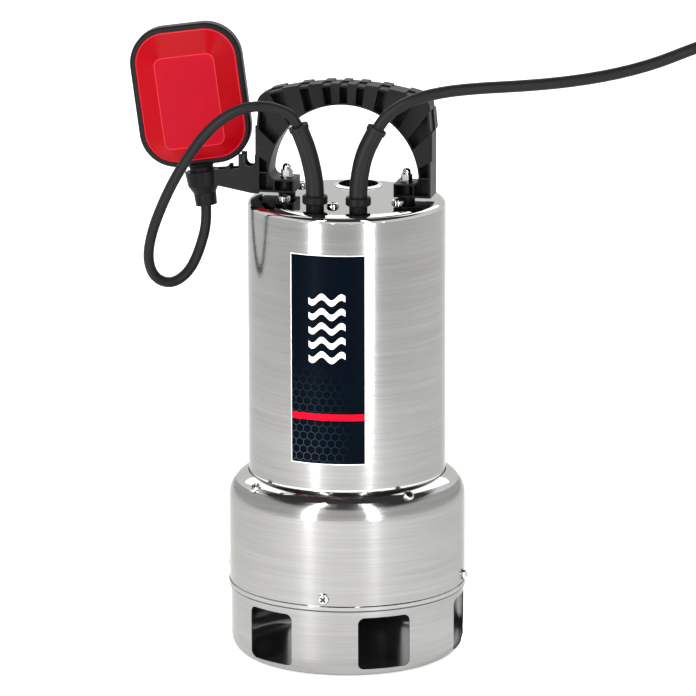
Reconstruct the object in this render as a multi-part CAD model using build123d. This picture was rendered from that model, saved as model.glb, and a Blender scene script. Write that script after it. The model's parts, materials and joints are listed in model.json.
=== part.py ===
"""Submersible sump pump for dirty water, with a float switch parked in its holder.

Lengths are in millimetres. The origin is at the centre of the base, +Z is up, the handle
spans X and the two cable glands face -Y. The rotor turns about the Z axis.
"""
from build123d import *
from math import acos, cos, degrees, pi, radians, sin, sqrt, tan
import os

# ---- stainless shells
CASING_D = 180.0            # outer casing
JACKET_INSET = 15.0         # motor jacket inside the casing
JACKET_TOP = 353.2          # top face of the jacket above the base
SHEET = 0.8                 # casing and jacket sheet
CUP_SHEET = 1.0
TOP_BEND_R = 4.5            # bend at the jacket's top edge
TOP_CROWN_R = 40.0          # gentle fall from the flat top to the bend
TOP_CROWN_W = 13.0          # width of that fall and the bend
SUCTION_SCREW_ANGLES = (30, 150, 270)
SHOULDER_R = 20.0           # rounded shoulder of the casing
SHOULDER_Z = 123.0          # where the shoulder starts
SHOULDER_SCREW_LEAN = 41.0  # shoulder screws, degrees from upright
LAP = 15.0                  # jacket below the start of the shoulder
CLAMP_T = 2.6               # ring under the shoulder that takes the screws
CLAMP_START = 20.0          # degrees up the shoulder
CUP_SHOW = 53.0             # strainer cup below the casing's rim
CUP_LAP = 17.0              # strainer cup inside the casing
CUP_CORNER_R = 14.0
BEAD_H = 4.6                # rolled rim of the casing
BEAD_OUT = 0.8
WINDOWS = 6
WINDOW_W = 41.0
WINDOW_H = 40.5
WINDOW_Z = 7.5
WINDOW_R = 5.0

# ---- clearances
SLIP = 0.2                  # between shells that slide together
SEAT = 0.05                 # between seated pieces of one body
RUN = 0.08                  # radial, round the turning shaft

# ---- hydraulic end
SUCTION_COVER_Z = 50.0
SUCTION_COVER_T = 4.0
EYE_D = 48.0
EYE_LIP = (5.0, 3.0)        # ring round the suction eye, wide and high
COVER_BOSS_R = 4.4
COVER_SCREW_L = 14.0
VOLUTE_GAP = 7.2            # volute inside the casing
VOLUTE_WALL = 3.0
VOLUTE_H = 38.0             # chamber between the suction cover and the top plate
VOLUTE_PLATE_T = 4.0
SPIRAL_INSET = 25.0         # spiral's start inside the volute
SPIRAL_GROWTH = 17.0        # gain in radius over one turn
FLANGE_T = 8.0
OUTLET_W = 12.0             # slot in the volute's top plate
OUTLET_ANGLE = 305.0
OUTLET_SWEEP = 40.0
O_RING_D = 3.0
RIM_NUT_R = 3.4
RIM_NUT_L = 4.0
IMPELLER_CLEAR = 5.0        # impeller inside the spiral's start
IMPELLER_DISC_T = 4.0
BLADES = 6
BLADE_H = 17.0
BLADE_T = 3.4
BLADE_SWEEP = 38.0          # degrees from hub to tip
IMPELLER_NUT = (6.5, 6.0)   # half its width across flats, and its height
HUB_R = 13.0
IMPELLER_GAP = 8.0          # from the impeller's back to the volute's top plate

# ---- motor
COOLING_GAP = 12.0          # can inside the jacket, where the water rises
CAN_WALL = 1.0
CAN_TOP = 326.0
SEAL_HOUSING_H = 18.0
SEAL_FLANGE_T = 4.0
SEAL_NOSE = 3.0             # seal housing below the volute's top plate
SEAL_NOSE_R = 22.0
SEAL_R = 12.5
SEAL_HEAD_H = 3.4
SEAL_SEAT_H = 5.0
LIP_SEAL_R = 14.0
BEARING_PLATE_T = 6.0
STATOR_Z = 150.0
STATOR_H = 86.0
BORE_R = 31.0               # stator bore
AIR_GAP = 0.6
END_RING = 6.0              # rotor's end rings
SLOTS = 24
SLOT_W = 4.4
SLOT_DEPTH = 14.0
SLOT_TIP = 2.0              # slot below the bore
WINDING_OVERHANG = 16.0
UPPER_BEARING_Z = 268.0
SHAFT_R = 11.0              # in the rotor core
IMPELLER_SEAT_R = 5.0
SEAL_SEAT_R = 6.0
COVER_T = 8.0
CAPACITOR_R = 16.0
CAPACITOR_L = 64.0
LOWER_BEARING = (8.5, 20.0, 12.0)     # bore radius, outer radius, width
UPPER_BEARING = (7.5, 17.5, 11.0)
BALLS = 7
BALL_SHARE = 0.29           # ball radius as a share of the ring section
BEARING_BOSS = 6.0          # wall round a bearing
PLATE_T = 4.0               # upper bearing's plate
RIM_WALL = 3.0              # rims that stand inside the can
SHAFT_COLLAR = 1.4

# ---- top face
TOP_SCREWS = ((-3.0, -37.0), (42.0, -15.0), (-45.0, -15.0), (-42.0, 34.0), (42.0, 34.0))
SCREW_HEAD_R = 4.7
SCREW_HEAD_H = 3.0
SCREW_R = 2.0
TOP_SCREW_L = 14.0
SHEET_SCREW_L = 6.0
TOP_BOSS_R = 5.2
GLAND_SOCKET_H = 10.0
GLAND_COLLAR = (1.8, 2.5)   # collar under the jacket's top, wide and high
PORT_IN = 30.0
PORT_BORE_R = 15.15         # G1 female thread, minor radius
PORT_WALL = 3.2
PORT_RIM_H = 1.4
PORT_SLOPE = (2.2, 1.1)     # sloping edge of the rim, wide and high
PORT_COLLAR = (2.0, 2.0, 0.3)         # under the jacket's top: wide, high, gap
PORT_DEPTH = 19.0
GLAND_X = 16.5
GLAND_MID = 1.8             # middle between the two glands
GLAND_IN = 29.0
GLAND_R = 6.8
GLAND_BORE_R = 5.2
GLAND_RISE = 3.8
GLAND_NOTCHES = 9
GLAND_NOTCH = (2.2, 0.9)    # wide and deep
GLAND_NUT_R = 9.5
GLAND_NUT_H = 6.4
PROTECTOR_R = 6.8
PROTECTOR_BEAD_R = 7.6
POWER_CORD_D = 9.0
FLOAT_CORD_D = 8.0
CORD_FIT = 0.3
PROTECTOR_REACH = 0.76      # share of the cord's third run that the protector covers
POWER_LEAN = ((4.2, 0.0, 32.4), (17.6, 0.7, 58.4))
FLOAT_LEAN = ((-4.2, -2.0, 32.4), (-14.0, -6.0, 59.8))

# ---- handle
HANDLE_HALF_W = 66.6
HANDLE_DEPTH = 23.4
HANDLE_LIFT = 3.6           # feet stand on bosses this high
HANDLE_H = 84.2             # from the feet's underside to the crown
POST_H = 52.0               # straight part of the posts
SHOULDER_IN = 2.0           # how far the posts lean in above it
SHOULDER_ROUND = 9.0
HANDLE_ARCH_R = 57.5
HANDLE_ARCH_H = 11.6        # arch centre above the feet's underside
HANDLE_CROWN_R = 215.0
FOOT_H = 10.0
FOOT_END_X = 38.3
FOOT_ROUND = 6.0            # between the foot's top and the arch
HANDLE_FLANGE = 1.6         # outer wall round the pockets
HANDLE_RIM = 1.2            # inner wall, along the hand space
HANDLE_WEB = 5.0            # between the front and the back pockets
POCKET_REACH = 18.0
POCKETS = (                 # two sides each: a point on it and its lean from upright
    ((-3.0, 76.5, 0.0), (3.0, 76.5, 0.0)),
    ((9.5, 76.0, 4.0), (15.3, 75.0, 9.0)),
    ((24.3, 72.0, 13.0), (31.2, 70.0, 15.0)),
    ((42.6, 69.0, 24.0), (49.8, 64.5, 33.0)),
    ((56.9, 54.6, 37.5), (59.5, 42.8, 47.8)))
POST_POCKET = (62.6, 25.7, 60.6)      # upper side of the pocket in the post and foot
POST_RIB_H = 15.0
FOOT_RIB_X = 53.4
THIN_RIB = 1.0
PAD_H = 1.2                 # grip pads on the ribs
PAD_SPLIT = 0.3             # front and back pads end this far from the middle
STUD_X = 46.0
STUD_R = 2.5
STUD_HEAD = (3.5, 2.0)      # head under the jacket's top, wide and high
HANDLE_BOSS_R = 6.5
WASHER_R = 5.0
WASHER_T = 1.0
NUT_AF = 8.0
NUT_H = 10.0

# ---- float switch and its holder
FLOAT_REACH = 45.3          # float's axis beyond the handle, at the holder's top
FLOAT_TILT = 7.6            # degrees, leaning away from the handle
FLOAT_YAW = 6.0             # degrees, turned towards the handle
HOLDER_TOP = 369.4
FUNNEL_R = 13.0
FUNNEL_H = 17.0
SLEEVE_R = 8.6
SLEEVE_H = 9.5
SLEEVE_BORE_R = 5.2
NECK_R = 9.0
NECK_H = 14.0
NECK_FIT = 0.4
FLOAT_W = 85.4
FLOAT_H = 107.8
FLOAT_R = 28.0
FLOAT_RIM = 3.9
FLOAT_RIM_DEPTH = 14.0
FLOAT_LIFT_OFF = 5.0        # neck shoulder above the funnel's mouth
COVER_RISE = 9.0
COVER_WALL = 2.0
COVER_FLAT = (46.0, 70.0)
COVER_STEP = 0.5            # the flat face stands proud of the slopes
COVER_FLAT_R = 6.0
COVER_FLAT_DROP = 3.0       # the flat face sits below the middle
SWITCH_BALL_R = 7.0
BALL_TRAVEL = 16.0
SWITCH_SIZE = (24.0, 12.0, 16.0)
SWITCH_STEM = (12.0, 6.0, 7.0)        # narrow foot of the switch box
LEVER_ROOM = 3.6
LEVER_T = 1.0
LEVER_W = 6.0
LEVER_PIN_X = 11.5
LEVER_PIN_R = 0.8
LEVER_TAIL = 8.5
HOLDER_SCREW_R = 1.5
HOLDER_SCREW_HEAD = (3.6, 2.2)
HOLDER_SCREWS = (5.2, 13.0)           # heights above the feet's underside
ARM_DEPTH = 14.0
ARM_WALL = 2.4
ARM_RISE = 4.9              # arm's top at the handle above the holder's top
ARM_END_RISE = 1.3          # and at the funnel
ARM_TOOTH = (22.0, 5.0, 2.4)          # place from the post, width and height
ARM_DROP = 10.2             # arm's depth at the funnel
ARM_FOOT = 2.4              # arm's lower end below the feet
CLIP_REACH = 7.1
CLIP_GAP = 8.6
CLIP_FLOOR = 0.6            # above the arm's top
CLIP_H = 9.8
CLIP_PRONGS = (4.0, 2.75)   # far and near prong

# ---- power cord: free route, then the coil and the plug
POWER_ROUTE = ((46.5, -44.5, 431.2), (61.5, -41.5, 439.0), (82.5, -35.0, 443.6),
               (108.0, -27.0, 445.6), (138.0, -19.5, 446.8), (170.0, -12.5, 449.6),
               (203.0, -6.0, 455.0), (234.0, 0.5, 463.3), (263.0, 9.0, 475.0),
               (292.0, 14.0, 485.0), (322.0, 16.0, 488.0), (352.0, 15.0, 482.0),
               (380.0, 10.0, 465.0), (404.0, 2.0, 437.0), (422.0, -9.0, 400.0),
               (435.0, -21.0, 355.0), (443.0, -33.0, 305.0), (448.0, -44.0, 255.0),
               (451.0, -54.0, 205.0), (453.0, -62.0, 158.0), (455.0, -67.0, 118.0),
               (458.0, -65.0, 84.0), (463.0, -52.0, 61.0), (469.0, -34.0, 48.0),
               (471.6, -13.5, 42.5))
COIL_CENTRE = (376.0, 0.0)
COIL_MID_R = 80.0
COIL_SECTION = (42.0, 46.4)
COIL_ROUND = 9.0
TAIL_ROUTE = ((407.8, 55.0, 4.7), (395.0, 59.7, 4.9), (381.2, 57.6, 6.5), (369.9, 49.6, 9.0),
              (363.1, 37.5, 11.0), (363.2, 23.8, 11.5), (364.9, 14.0, 11.5))
PLUG = (38.0, 44.0, 23.0)

# ---- float cord: from the gland's protector, round the front of the float to its neck
FLOAT_ROUTE = ((-38.5, -55.5, 429.2), (-51.0, -59.5, 432.6), (-66.0, -62.5, 431.0),
               (-81.0, -64.5, 423.0), (-95.0, -64.0, 410.0), (-107.5, -62.0, 393.0),
               (-120.0, -59.0, 373.0), (-131.0, -55.0, 351.0), (-140.0, -49.5, 329.0),
               (-145.0, -41.5, 308.0), (-142.0, -32.5, 291.5), (-131.0, -24.0, 285.3),
               (-119.5, -15.0, 292.5), (-112.5, -7.0, 308.5))

CORD_RISE = 22.0            # straight run up into the neck

# ---- derived places
CASING_R = CASING_D / 2
JACKET_R = CASING_R - JACKET_INSET
JACKET_UNDER = JACKET_TOP - SHEET
JACKET_BOTTOM = SHOULDER_Z - LAP
CASING_IN = CASING_R - SHEET
CUP_R = CASING_IN - SLIP
CUP_IN = CUP_R - CUP_SHEET
CUP_TOP = CUP_SHOW + CUP_LAP
BEAD_TOP = CUP_SHOW + BEAD_H
RIM_SCREW_Z = (BEAD_TOP + CUP_TOP) / 2 - 0.8
SHOULDER_C = CASING_R - SHOULDER_R
SHOULDER_STOP = degrees(acos((JACKET_R + SLIP - SHOULDER_C) / (SHOULDER_R - SHEET)))
SUCTION_COVER_TOP = SUCTION_COVER_Z + SUCTION_COVER_T
VOLUTE_R = CASING_IN - VOLUTE_GAP
SPIRAL_START_R = VOLUTE_R - SPIRAL_INSET
IMPELLER_R = SPIRAL_START_R - IMPELLER_CLEAR
SUCTION_SCREW_R = VOLUTE_R - COVER_BOSS_R - SLIP
VOLUTE_TOP = SUCTION_COVER_TOP + VOLUTE_H
CAN_R = JACKET_R - COOLING_GAP
CAN_IN = CAN_R - CAN_WALL
CAN_BOTTOM = VOLUTE_TOP + VOLUTE_PLATE_T
CAN_SEAT_Z = CAN_BOTTOM + SEAL_FLANGE_T
SEAL_TOP = CAN_BOTTOM + SEAL_HOUSING_H
LOWER_BEARING_Z = SEAL_TOP + BEARING_PLATE_T
LOWER_BEARING_TOP = LOWER_BEARING_Z + LOWER_BEARING[2]
UPPER_BEARING_TOP = UPPER_BEARING_Z + UPPER_BEARING[2]
IMPELLER_BACK = VOLUTE_TOP - IMPELLER_GAP
IMPELLER_DISC_Z = IMPELLER_BACK - IMPELLER_DISC_T
BLADE_Z = IMPELLER_DISC_Z - BLADE_H
SHAFT_FOOT = BLADE_Z - IMPELLER_NUT[1] * 0.7
SEAL_FACE_Z = CAN_BOTTOM - SEAL_NOSE
STATOR_TOP = STATOR_Z + STATOR_H
ROTOR_R = BORE_R - AIR_GAP
COVER_TOP = CAN_TOP + COVER_T
PORT_Y = JACKET_R - PORT_IN
GLAND_Y = GLAND_IN - JACKET_R
PORT_R = PORT_BORE_R + PORT_WALL
PORT_RIM_Z = JACKET_TOP + PORT_RIM_H
GLAND_TOP = JACKET_TOP + GLAND_RISE
NUT_TOP = GLAND_TOP + GLAND_NUT_H
HANDLE_Z = JACKET_TOP + HANDLE_LIFT
FOOT_TOP = HANDLE_Z + FOOT_H
WASHER_TOP = FOOT_TOP + WASHER_T
FLOAT_X = -HANDLE_HALF_W - FLOAT_REACH
CLIP_X = -HANDLE_HALF_W - CLIP_REACH
FLOAT_PLACE = Pos(FLOAT_X, 0, HOLDER_TOP) * Rot(0, -FLOAT_TILT, 0) * Rot(0, 0, FLOAT_YAW)
FLOAT_MID = FLOAT_LIFT_OFF + FLOAT_H / 2
SWITCH_FOOT = FLOAT_LIFT_OFF + FLOAT_RIM + SEAT
SWITCH_TOP = SWITCH_FOOT + SWITCH_STEM[2] + SWITCH_SIZE[2]
LEVER_PIN_Z = SWITCH_TOP + 3 * LEVER_PIN_R
BALL_REST_Z = SWITCH_TOP + LEVER_ROOM + SWITCH_BALL_R


# ---------------------------------------------------------------- helpers
def rod(radius, z0, z1, x=0.0, y=0.0):
    """Upright cylinder from z0 to z1."""
    base = (Align.CENTER, Align.CENTER, Align.MIN)
    return Pos(x, y, z0) * Cylinder(radius, z1 - z0, align=base)


def ring(outer, inner, z0, z1, x=0.0, y=0.0):
    """Upright tube from z0 to z1."""
    return rod(outer, z0, z1, x, y) - rod(inner, z0 - 1, z1 + 1, x, y)


def turned(*points):
    """Closed (radius, z) outline turned about the Z axis."""
    outline = Polyline(*[(r, 0, z) for r, z in points], close=True)
    return revolve(make_face(outline), Axis.Z)


def spin(shape, angles):
    """Copies of a shape at the given angles about Z."""
    return [Rot(0, 0, angle) * shape for angle in angles]


def around(count, start=0.0):
    """Even angles for a pattern."""
    return [start + 360 * i / count for i in range(count)]


def group(shapes):
    """Separate solids kept together in one node."""
    solids = []
    for shape in shapes:
        solids += list(shape.solids())
    return Compound(children=solids)


def end_edges(shape, end):
    """Edges at the top (-1) or the bottom (0) of a shape."""
    return shape.edges().group_by(Axis.Z)[end]


def upright(sketch, y0, y1, z=0.0):
    """Sketch drawn in X and height, made solid from y0 to y1."""
    return Pos(0, y1, z) * Rot(90, 0, 0) * extrude(sketch, y1 - y0)


def rounded_box(width, height, radius, y0, y1, z):
    """Upright rounded rectangle with its centre at height z."""
    return upright(Pos(0, z) * RectangleRounded(width, height, radius), y0, y1)


def pan_screw(head_r, head_h, shank_r, length):
    """Screw along Z with its head seated at z = 0."""
    head = fillet(end_edges(rod(head_r, 0, head_h), -1), head_h * 0.55)
    return head + rod(shank_r, -length, 0)


# ---------------------------------------------------------------- stainless shells
def radial(shape, radius, z):
    """Shape made along +Z, turned to point outwards along +X."""
    return Pos(radius, 0, z) * Rot(0, 90, 0) * shape


def shoulder_point(radius, turn):
    """Point of an arc about the shoulder's centre, in the XZ plane."""
    angle = radians(turn)
    return SHOULDER_C + radius * cos(angle), 0, SHOULDER_Z + radius * sin(angle)


def shoulder_band(outer, inner, start, stop):
    """Part of the shoulder between two arcs, turned about Z."""
    turns = (start, (start + stop) / 2, stop)
    far = ThreePointArc(*[shoulder_point(outer, turn) for turn in turns])
    near = ThreePointArc(*[shoulder_point(inner, turn) for turn in turns])
    outline = far + near + Line(far @ 1, near @ 1) + Line(far @ 0, near @ 0)
    return revolve(make_face(outline), Axis.Z)


def on_shoulder(shape):
    """Shape made along +Z, set square on the shoulder's outer face."""
    x, y, z = shoulder_point(SHOULDER_R, 90 - SHOULDER_SCREW_LEAN)
    return Pos(x, y, z) * Rot(0, SHOULDER_SCREW_LEAN, 0) * shape


def strainer_cup():
    outer = rod(CUP_R, 0, CUP_TOP)
    outer = fillet(end_edges(outer, 0), CUP_CORNER_R)
    inner = rod(CUP_IN, CUP_SHEET, CUP_TOP + 1)
    inner = fillet(end_edges(inner, 0), CUP_CORNER_R - CUP_SHEET)
    cup = outer - inner
    window = extrude(RectangleRounded(WINDOW_H, WINDOW_W, WINDOW_R), CUP_CORNER_R + 10)
    middle = WINDOW_Z + WINDOW_H / 2
    cup -= spin(radial(window, CUP_R - CUP_CORNER_R, middle), around(WINDOWS))
    cup -= spin(radial(rod(RIM_NUT_R + SEAT, -10, 5), CUP_R, RIM_SCREW_Z), around(4))
    return cup


def outer_casing():
    bead = ring(CASING_R + BEAD_OUT, CASING_IN, CUP_SHOW, BEAD_TOP)
    rims = bead.edges().filter_by(GeomType.CIRCLE).sort_by(SortBy.RADIUS)[-2:]
    casing = fillet(rims, BEAD_OUT * 0.9)
    casing += ring(CASING_R, CASING_IN, BEAD_TOP, SHOULDER_Z)
    casing += shoulder_band(SHOULDER_R, SHOULDER_R - SHEET, 0, SHOULDER_STOP)
    casing -= spin(radial(rod(SCREW_R + SLIP, -5, 5), CASING_R, RIM_SCREW_Z), around(4))
    casing -= spin(on_shoulder(rod(SCREW_R + SLIP, -5, 5)), around(4, 45))
    return casing


def clamp_ring():
    outer = SHOULDER_R - SHEET - SEAT
    ring_in = JACKET_R + SEAT
    stop = degrees(acos((ring_in + 0.6 - SHOULDER_C) / (outer - CLAMP_T)))
    band = shoulder_band(outer, outer - CLAMP_T, CLAMP_START, stop)
    top = shoulder_point(outer - CLAMP_T, stop)[2]
    clamp = band + ring(ring_in + CLAMP_T, ring_in, JACKET_BOTTOM, top)
    return clamp - spin(on_shoulder(rod(SCREW_R + SEAT, -8, 5)), around(4, 45))


def jacket_form(inset, bottom):
    """Solid with a flat top, a gentle fall round it and a tight bend into its wall."""
    wall, top = JACKET_R - inset, JACKET_TOP - inset
    flat = JACKET_R - TOP_CROWN_W
    low, reach = JACKET_TOP - TOP_CROWN_R, TOP_CROWN_R - TOP_BEND_R
    across = JACKET_R - TOP_BEND_R - flat
    rise = sqrt(reach ** 2 - across ** 2)
    share = (TOP_CROWN_R - inset) / reach
    meet = (flat + across * share, 0, low + rise * share)
    edge = (wall, 0, low + rise)
    outline = Polyline((wall, 0, low + rise), (wall, 0, bottom), (0, 0, bottom), (0, 0, top),
                       (flat, 0, top))
    outline += TangentArc((flat, 0, top), meet, tangent=(1, 0, 0))
    outline += TangentArc(edge, meet, tangent=(0, 0, 1))
    return revolve(make_face(outline), Axis.Z)


def motor_jacket():
    jacket = jacket_form(0, JACKET_BOTTOM) - jacket_form(SHEET, JACKET_BOTTOM - 1)
    for x, y in TOP_SCREWS:
        jacket -= rod(SCREW_R + SLIP, JACKET_UNDER - 1, JACKET_TOP + 1, x, y)
    jacket -= rod(PORT_R + SEAT, JACKET_UNDER - 1, JACKET_TOP + 1, 0, PORT_Y)
    for side in (-1, 1):
        jacket -= rod(GLAND_R + SEAT, JACKET_UNDER - 1, JACKET_TOP + 1, gland_x(side), GLAND_Y)
        jacket -= rod(STUD_R + SLIP, JACKET_UNDER - 1, JACKET_TOP + 1, side * STUD_X)
    return jacket


def discharge_socket():
    bottom = PORT_RIM_Z - PORT_DEPTH
    socket = ring(PORT_R, PORT_BORE_R, bottom, PORT_RIM_Z, 0, PORT_Y)
    socket = chamfer(end_edges(socket, -1).sort_by(SortBy.RADIUS)[-1:], *PORT_SLOPE[::-1])
    wide, high, gap = PORT_COLLAR
    top = JACKET_UNDER - gap
    return socket + ring(PORT_R + wide, PORT_BORE_R, top - high, top, 0, PORT_Y)


# ---------------------------------------------------------------- hydraulic end
def suction_cover():
    cover = rod(CUP_IN - 3 * SLIP, SUCTION_COVER_Z, SUCTION_COVER_TOP)
    lip_w, lip_h = EYE_LIP
    cover += rod(EYE_D / 2 + lip_w, SUCTION_COVER_Z - lip_h, SUCTION_COVER_Z)
    eye = rod(EYE_D / 2, SUCTION_COVER_Z - lip_h - 1, SUCTION_COVER_TOP + 1)
    screw_hole = rod(SCREW_R + SLIP, SUCTION_COVER_Z - 1, SUCTION_COVER_TOP + 1, SUCTION_SCREW_R)
    return cover - eye - spin(screw_hole, SUCTION_SCREW_ANGLES)


def spiral_wall():
    """Volute wall whose radius grows evenly over one turn."""
    turns = [15 * i for i in range(24)]
    def edge(extra):
        points = []
        for turn in turns:
            radius = SPIRAL_START_R + SPIRAL_GROWTH * turn / 360 + extra
            points.append((radius * cos(radians(turn)), radius * sin(radians(turn))))
        return Spline(*points)
    near, far = edge(0), edge(VOLUTE_WALL)
    outline = near + far + Line(near @ 0, far @ 0) + Line(near @ 1, far @ 1)
    wall = extrude(make_face(outline), VOLUTE_H + 1)
    return Pos(0, 0, SUCTION_COVER_TOP) * wall


def volute_casing():
    skirt_in = VOLUTE_R - VOLUTE_WALL
    volute = ring(VOLUTE_R, skirt_in, SUCTION_COVER_TOP, VOLUTE_TOP)
    volute += ring(CASING_IN - SLIP, skirt_in, CUP_TOP, CUP_TOP + FLANGE_T)
    volute += ring(VOLUTE_R, SEAL_NOSE_R + SEAT, VOLUTE_TOP, CAN_BOTTOM)
    volute += spiral_wall()
    boss = rod(COVER_BOSS_R, SUCTION_COVER_TOP, VOLUTE_TOP + 1, SUCTION_SCREW_R)
    volute += spin(boss, SUCTION_SCREW_ANGLES)
    screw_end = SUCTION_COVER_Z + COVER_SCREW_L
    volute -= spin(rod(SCREW_R + SEAT, 0, screw_end + 1, SUCTION_SCREW_R), SUCTION_SCREW_ANGLES)
    groove_z = CUP_TOP + FLANGE_T / 2
    half = O_RING_D / 2 + SLIP
    groove = ring(CASING_R, CASING_IN - O_RING_D, groove_z - half, groove_z + half)
    slot_mid = (CAN_R + VOLUTE_R - VOLUTE_WALL) / 2
    outlet = Pos(slot_mid, 0, VOLUTE_TOP) * Rot(90, 0, 0) * Rectangle(OUTLET_W, 14)
    outlet = Rot(0, 0, OUTLET_ANGLE) * revolve(outlet, Axis.Z, OUTLET_SWEEP)
    return volute - groove - outlet


def o_ring(outer, z):
    """Rubber ring that fills a groove out to the given radius."""
    radius = O_RING_D / 2 - SEAT
    return Pos(0, 0, z) * Torus(outer - O_RING_D / 2, radius)


def impeller_blade():
    """Backward-swept blade standing on the impeller disc."""
    reach = (HUB_R - 2, (HUB_R + IMPELLER_R) / 2, IMPELLER_R)
    def edge(side):
        points = []
        for share, radius in zip((0, 0.42, 1), reach):
            angle = radians(BLADE_SWEEP * share) + side * BLADE_T / 2 / radius
            points.append((radius * cos(angle), radius * sin(angle)))
        return ThreePointArc(*points)
    left, right = edge(-1), edge(1)
    outline = left + right + Line(left @ 0, right @ 0) + Line(left @ 1, right @ 1)
    return Pos(0, 0, BLADE_Z) * extrude(make_face(outline), BLADE_H + 1)


def impeller():
    wheel = rod(IMPELLER_R, IMPELLER_DISC_Z, IMPELLER_BACK)
    wheel += rod(HUB_R, BLADE_Z, IMPELLER_BACK)
    wheel += spin(impeller_blade(), around(BLADES))
    return wheel - rod(IMPELLER_SEAT_R + SEAT, BLADE_Z - 1, IMPELLER_BACK + 1)


def impeller_nut():
    half_af, height = IMPELLER_NUT
    hexagon = RegularPolygon(half_af, 6, major_radius=False)
    nut = Pos(0, 0, BLADE_Z - height) * extrude(hexagon, height)
    return nut - rod(IMPELLER_SEAT_R + SEAT, SHAFT_FOOT, BLADE_Z + 1)


# ---------------------------------------------------------------- shaft seal and bearings
def seal_housing():
    """Closes the can's lower end and holds the oil for the shaft seal."""
    rim, flange = CAN_IN - SEAT, CAN_R + RIM_WALL
    wall, boss = rim - RIM_WALL, SEAL_R + SEAL_SEAT_H
    return turned((SEAL_R + SEAT, SEAL_FACE_Z), (SEAL_NOSE_R, SEAL_FACE_Z),
                  (SEAL_NOSE_R, CAN_BOTTOM), (flange, CAN_BOTTOM), (flange, CAN_SEAT_Z),
                  (rim, CAN_SEAT_Z), (rim, SEAL_TOP), (wall, SEAL_TOP), (wall, CAN_SEAT_Z + 1),
                  (boss, CAN_SEAT_Z + 1), (boss, SEAL_FACE_Z + SEAL_SEAT_H + 1),
                  (SEAL_R + SEAT, SEAL_FACE_Z + SEAL_SEAT_H + 1))


def seal_bellows():
    """Rubber bellows that presses the turning seal face upwards."""
    bottom, top = IMPELLER_BACK + SEAT, SEAL_FACE_Z - SEAL_HEAD_H - RUN - SEAT
    inner, outer = SEAL_SEAT_R + SEAT, SEAL_R - 2
    pitch = (top - bottom) / 4
    folds = []
    for i in range(5):
        folds.append((outer if i % 2 else outer - 2.4, bottom + i * pitch))
    return turned((inner, bottom), *folds, (inner, top))


def oil_chamber_cover():
    """Carries the lip seal and the lower bearing above the oil."""
    bearing_seat = LOWER_BEARING[1] + SEAT
    rim = CAN_IN - SEAT
    boss = bearing_seat + BEARING_BOSS
    return turned((LIP_SEAL_R + SEAT, SEAL_TOP), (rim, SEAL_TOP), (rim, LOWER_BEARING_Z),
                  (boss, LOWER_BEARING_Z), (boss, LOWER_BEARING_TOP),
                  (bearing_seat, LOWER_BEARING_TOP), (bearing_seat, LOWER_BEARING_Z),
                  (LIP_SEAL_R + SEAT, LOWER_BEARING_Z))


def upper_bearing_bracket():
    bearing_seat = UPPER_BEARING[1] + SEAT
    rim = CAN_IN - SEAT
    boss = bearing_seat + BEARING_BOSS
    wall = rim - RIM_WALL
    under = UPPER_BEARING_Z - PLATE_T
    hole = UPPER_BEARING[0] + 2 * SHAFT_COLLAR
    return turned((hole, under), (rim, under), (rim, UPPER_BEARING_TOP),
                  (wall, UPPER_BEARING_TOP), (wall, UPPER_BEARING_Z),
                  (boss, UPPER_BEARING_Z), (boss, UPPER_BEARING_TOP),
                  (bearing_seat, UPPER_BEARING_TOP), (bearing_seat, UPPER_BEARING_Z),
                  (hole, UPPER_BEARING_Z))


def ball_bearing(size, z):
    """Inner ring, outer ring and balls of a deep-groove bearing standing on z."""
    bore, outer, width = size
    pitch_r = (bore + outer) / 2
    ball_r = BALL_SHARE * (outer - bore)
    middle = z + width / 2
    groove = Pos(0, 0, middle) * Torus(pitch_r, ball_r + RUN)
    land = ball_r * 0.6
    inner_ring = ring(pitch_r - land, bore, z, z + width) - groove
    outer_ring = ring(outer, pitch_r + land, z, z + width) - groove
    balls = spin(Pos(pitch_r, 0, middle) * Sphere(ball_r), around(BALLS))
    return inner_ring, outer_ring, group(balls)


def motor_shaft():
    lower = LOWER_BEARING[0] - SEAT
    upper = UPPER_BEARING[0] - SEAT
    collar = upper + SHAFT_COLLAR
    shoulder = UPPER_BEARING_Z - PLATE_T - 2
    seal_end = CAN_SEAT_Z + SEAL_FLANGE_T
    top = UPPER_BEARING_TOP + 3
    return turned((0, SHAFT_FOOT), (IMPELLER_SEAT_R, SHAFT_FOOT),
                  (IMPELLER_SEAT_R, IMPELLER_BACK), (SEAL_SEAT_R, IMPELLER_BACK),
                  (SEAL_SEAT_R, seal_end), (lower, seal_end),
                  (lower, LOWER_BEARING_TOP), (SHAFT_R, LOWER_BEARING_TOP),
                  (SHAFT_R, shoulder), (collar, shoulder), (collar, UPPER_BEARING_Z),
                  (upper, UPPER_BEARING_Z), (upper, top), (0, top))


# ---------------------------------------------------------------- motor
def motor_can():
    return ring(CAN_R, CAN_IN, CAN_SEAT_Z, CAN_TOP)


def slot_cut(clearance, z0, z1):
    """Bars that fill the stator slots, less a clearance."""
    depth = SLOT_DEPTH - 2 * clearance
    width = SLOT_W - 2 * clearance
    middle = BORE_R + SLOT_TIP + SLOT_DEPTH / 2
    bar = Pos(middle, 0, z0) * extrude(Rectangle(depth, width), z1 - z0)
    return spin(bar, around(SLOTS))


def stator_core():
    core = ring(CAN_IN - SEAT, BORE_R, STATOR_Z, STATOR_TOP)
    core -= slot_cut(0, STATOR_Z - 1, STATOR_TOP + 1)
    mouth = Pos(BORE_R + SLOT_TIP / 2, 0, STATOR_Z - 1)
    mouth = mouth * extrude(Rectangle(SLOT_TIP + 2, SLOT_W / 2), STATOR_H + 2)
    return core - spin(mouth, around(SLOTS))


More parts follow.
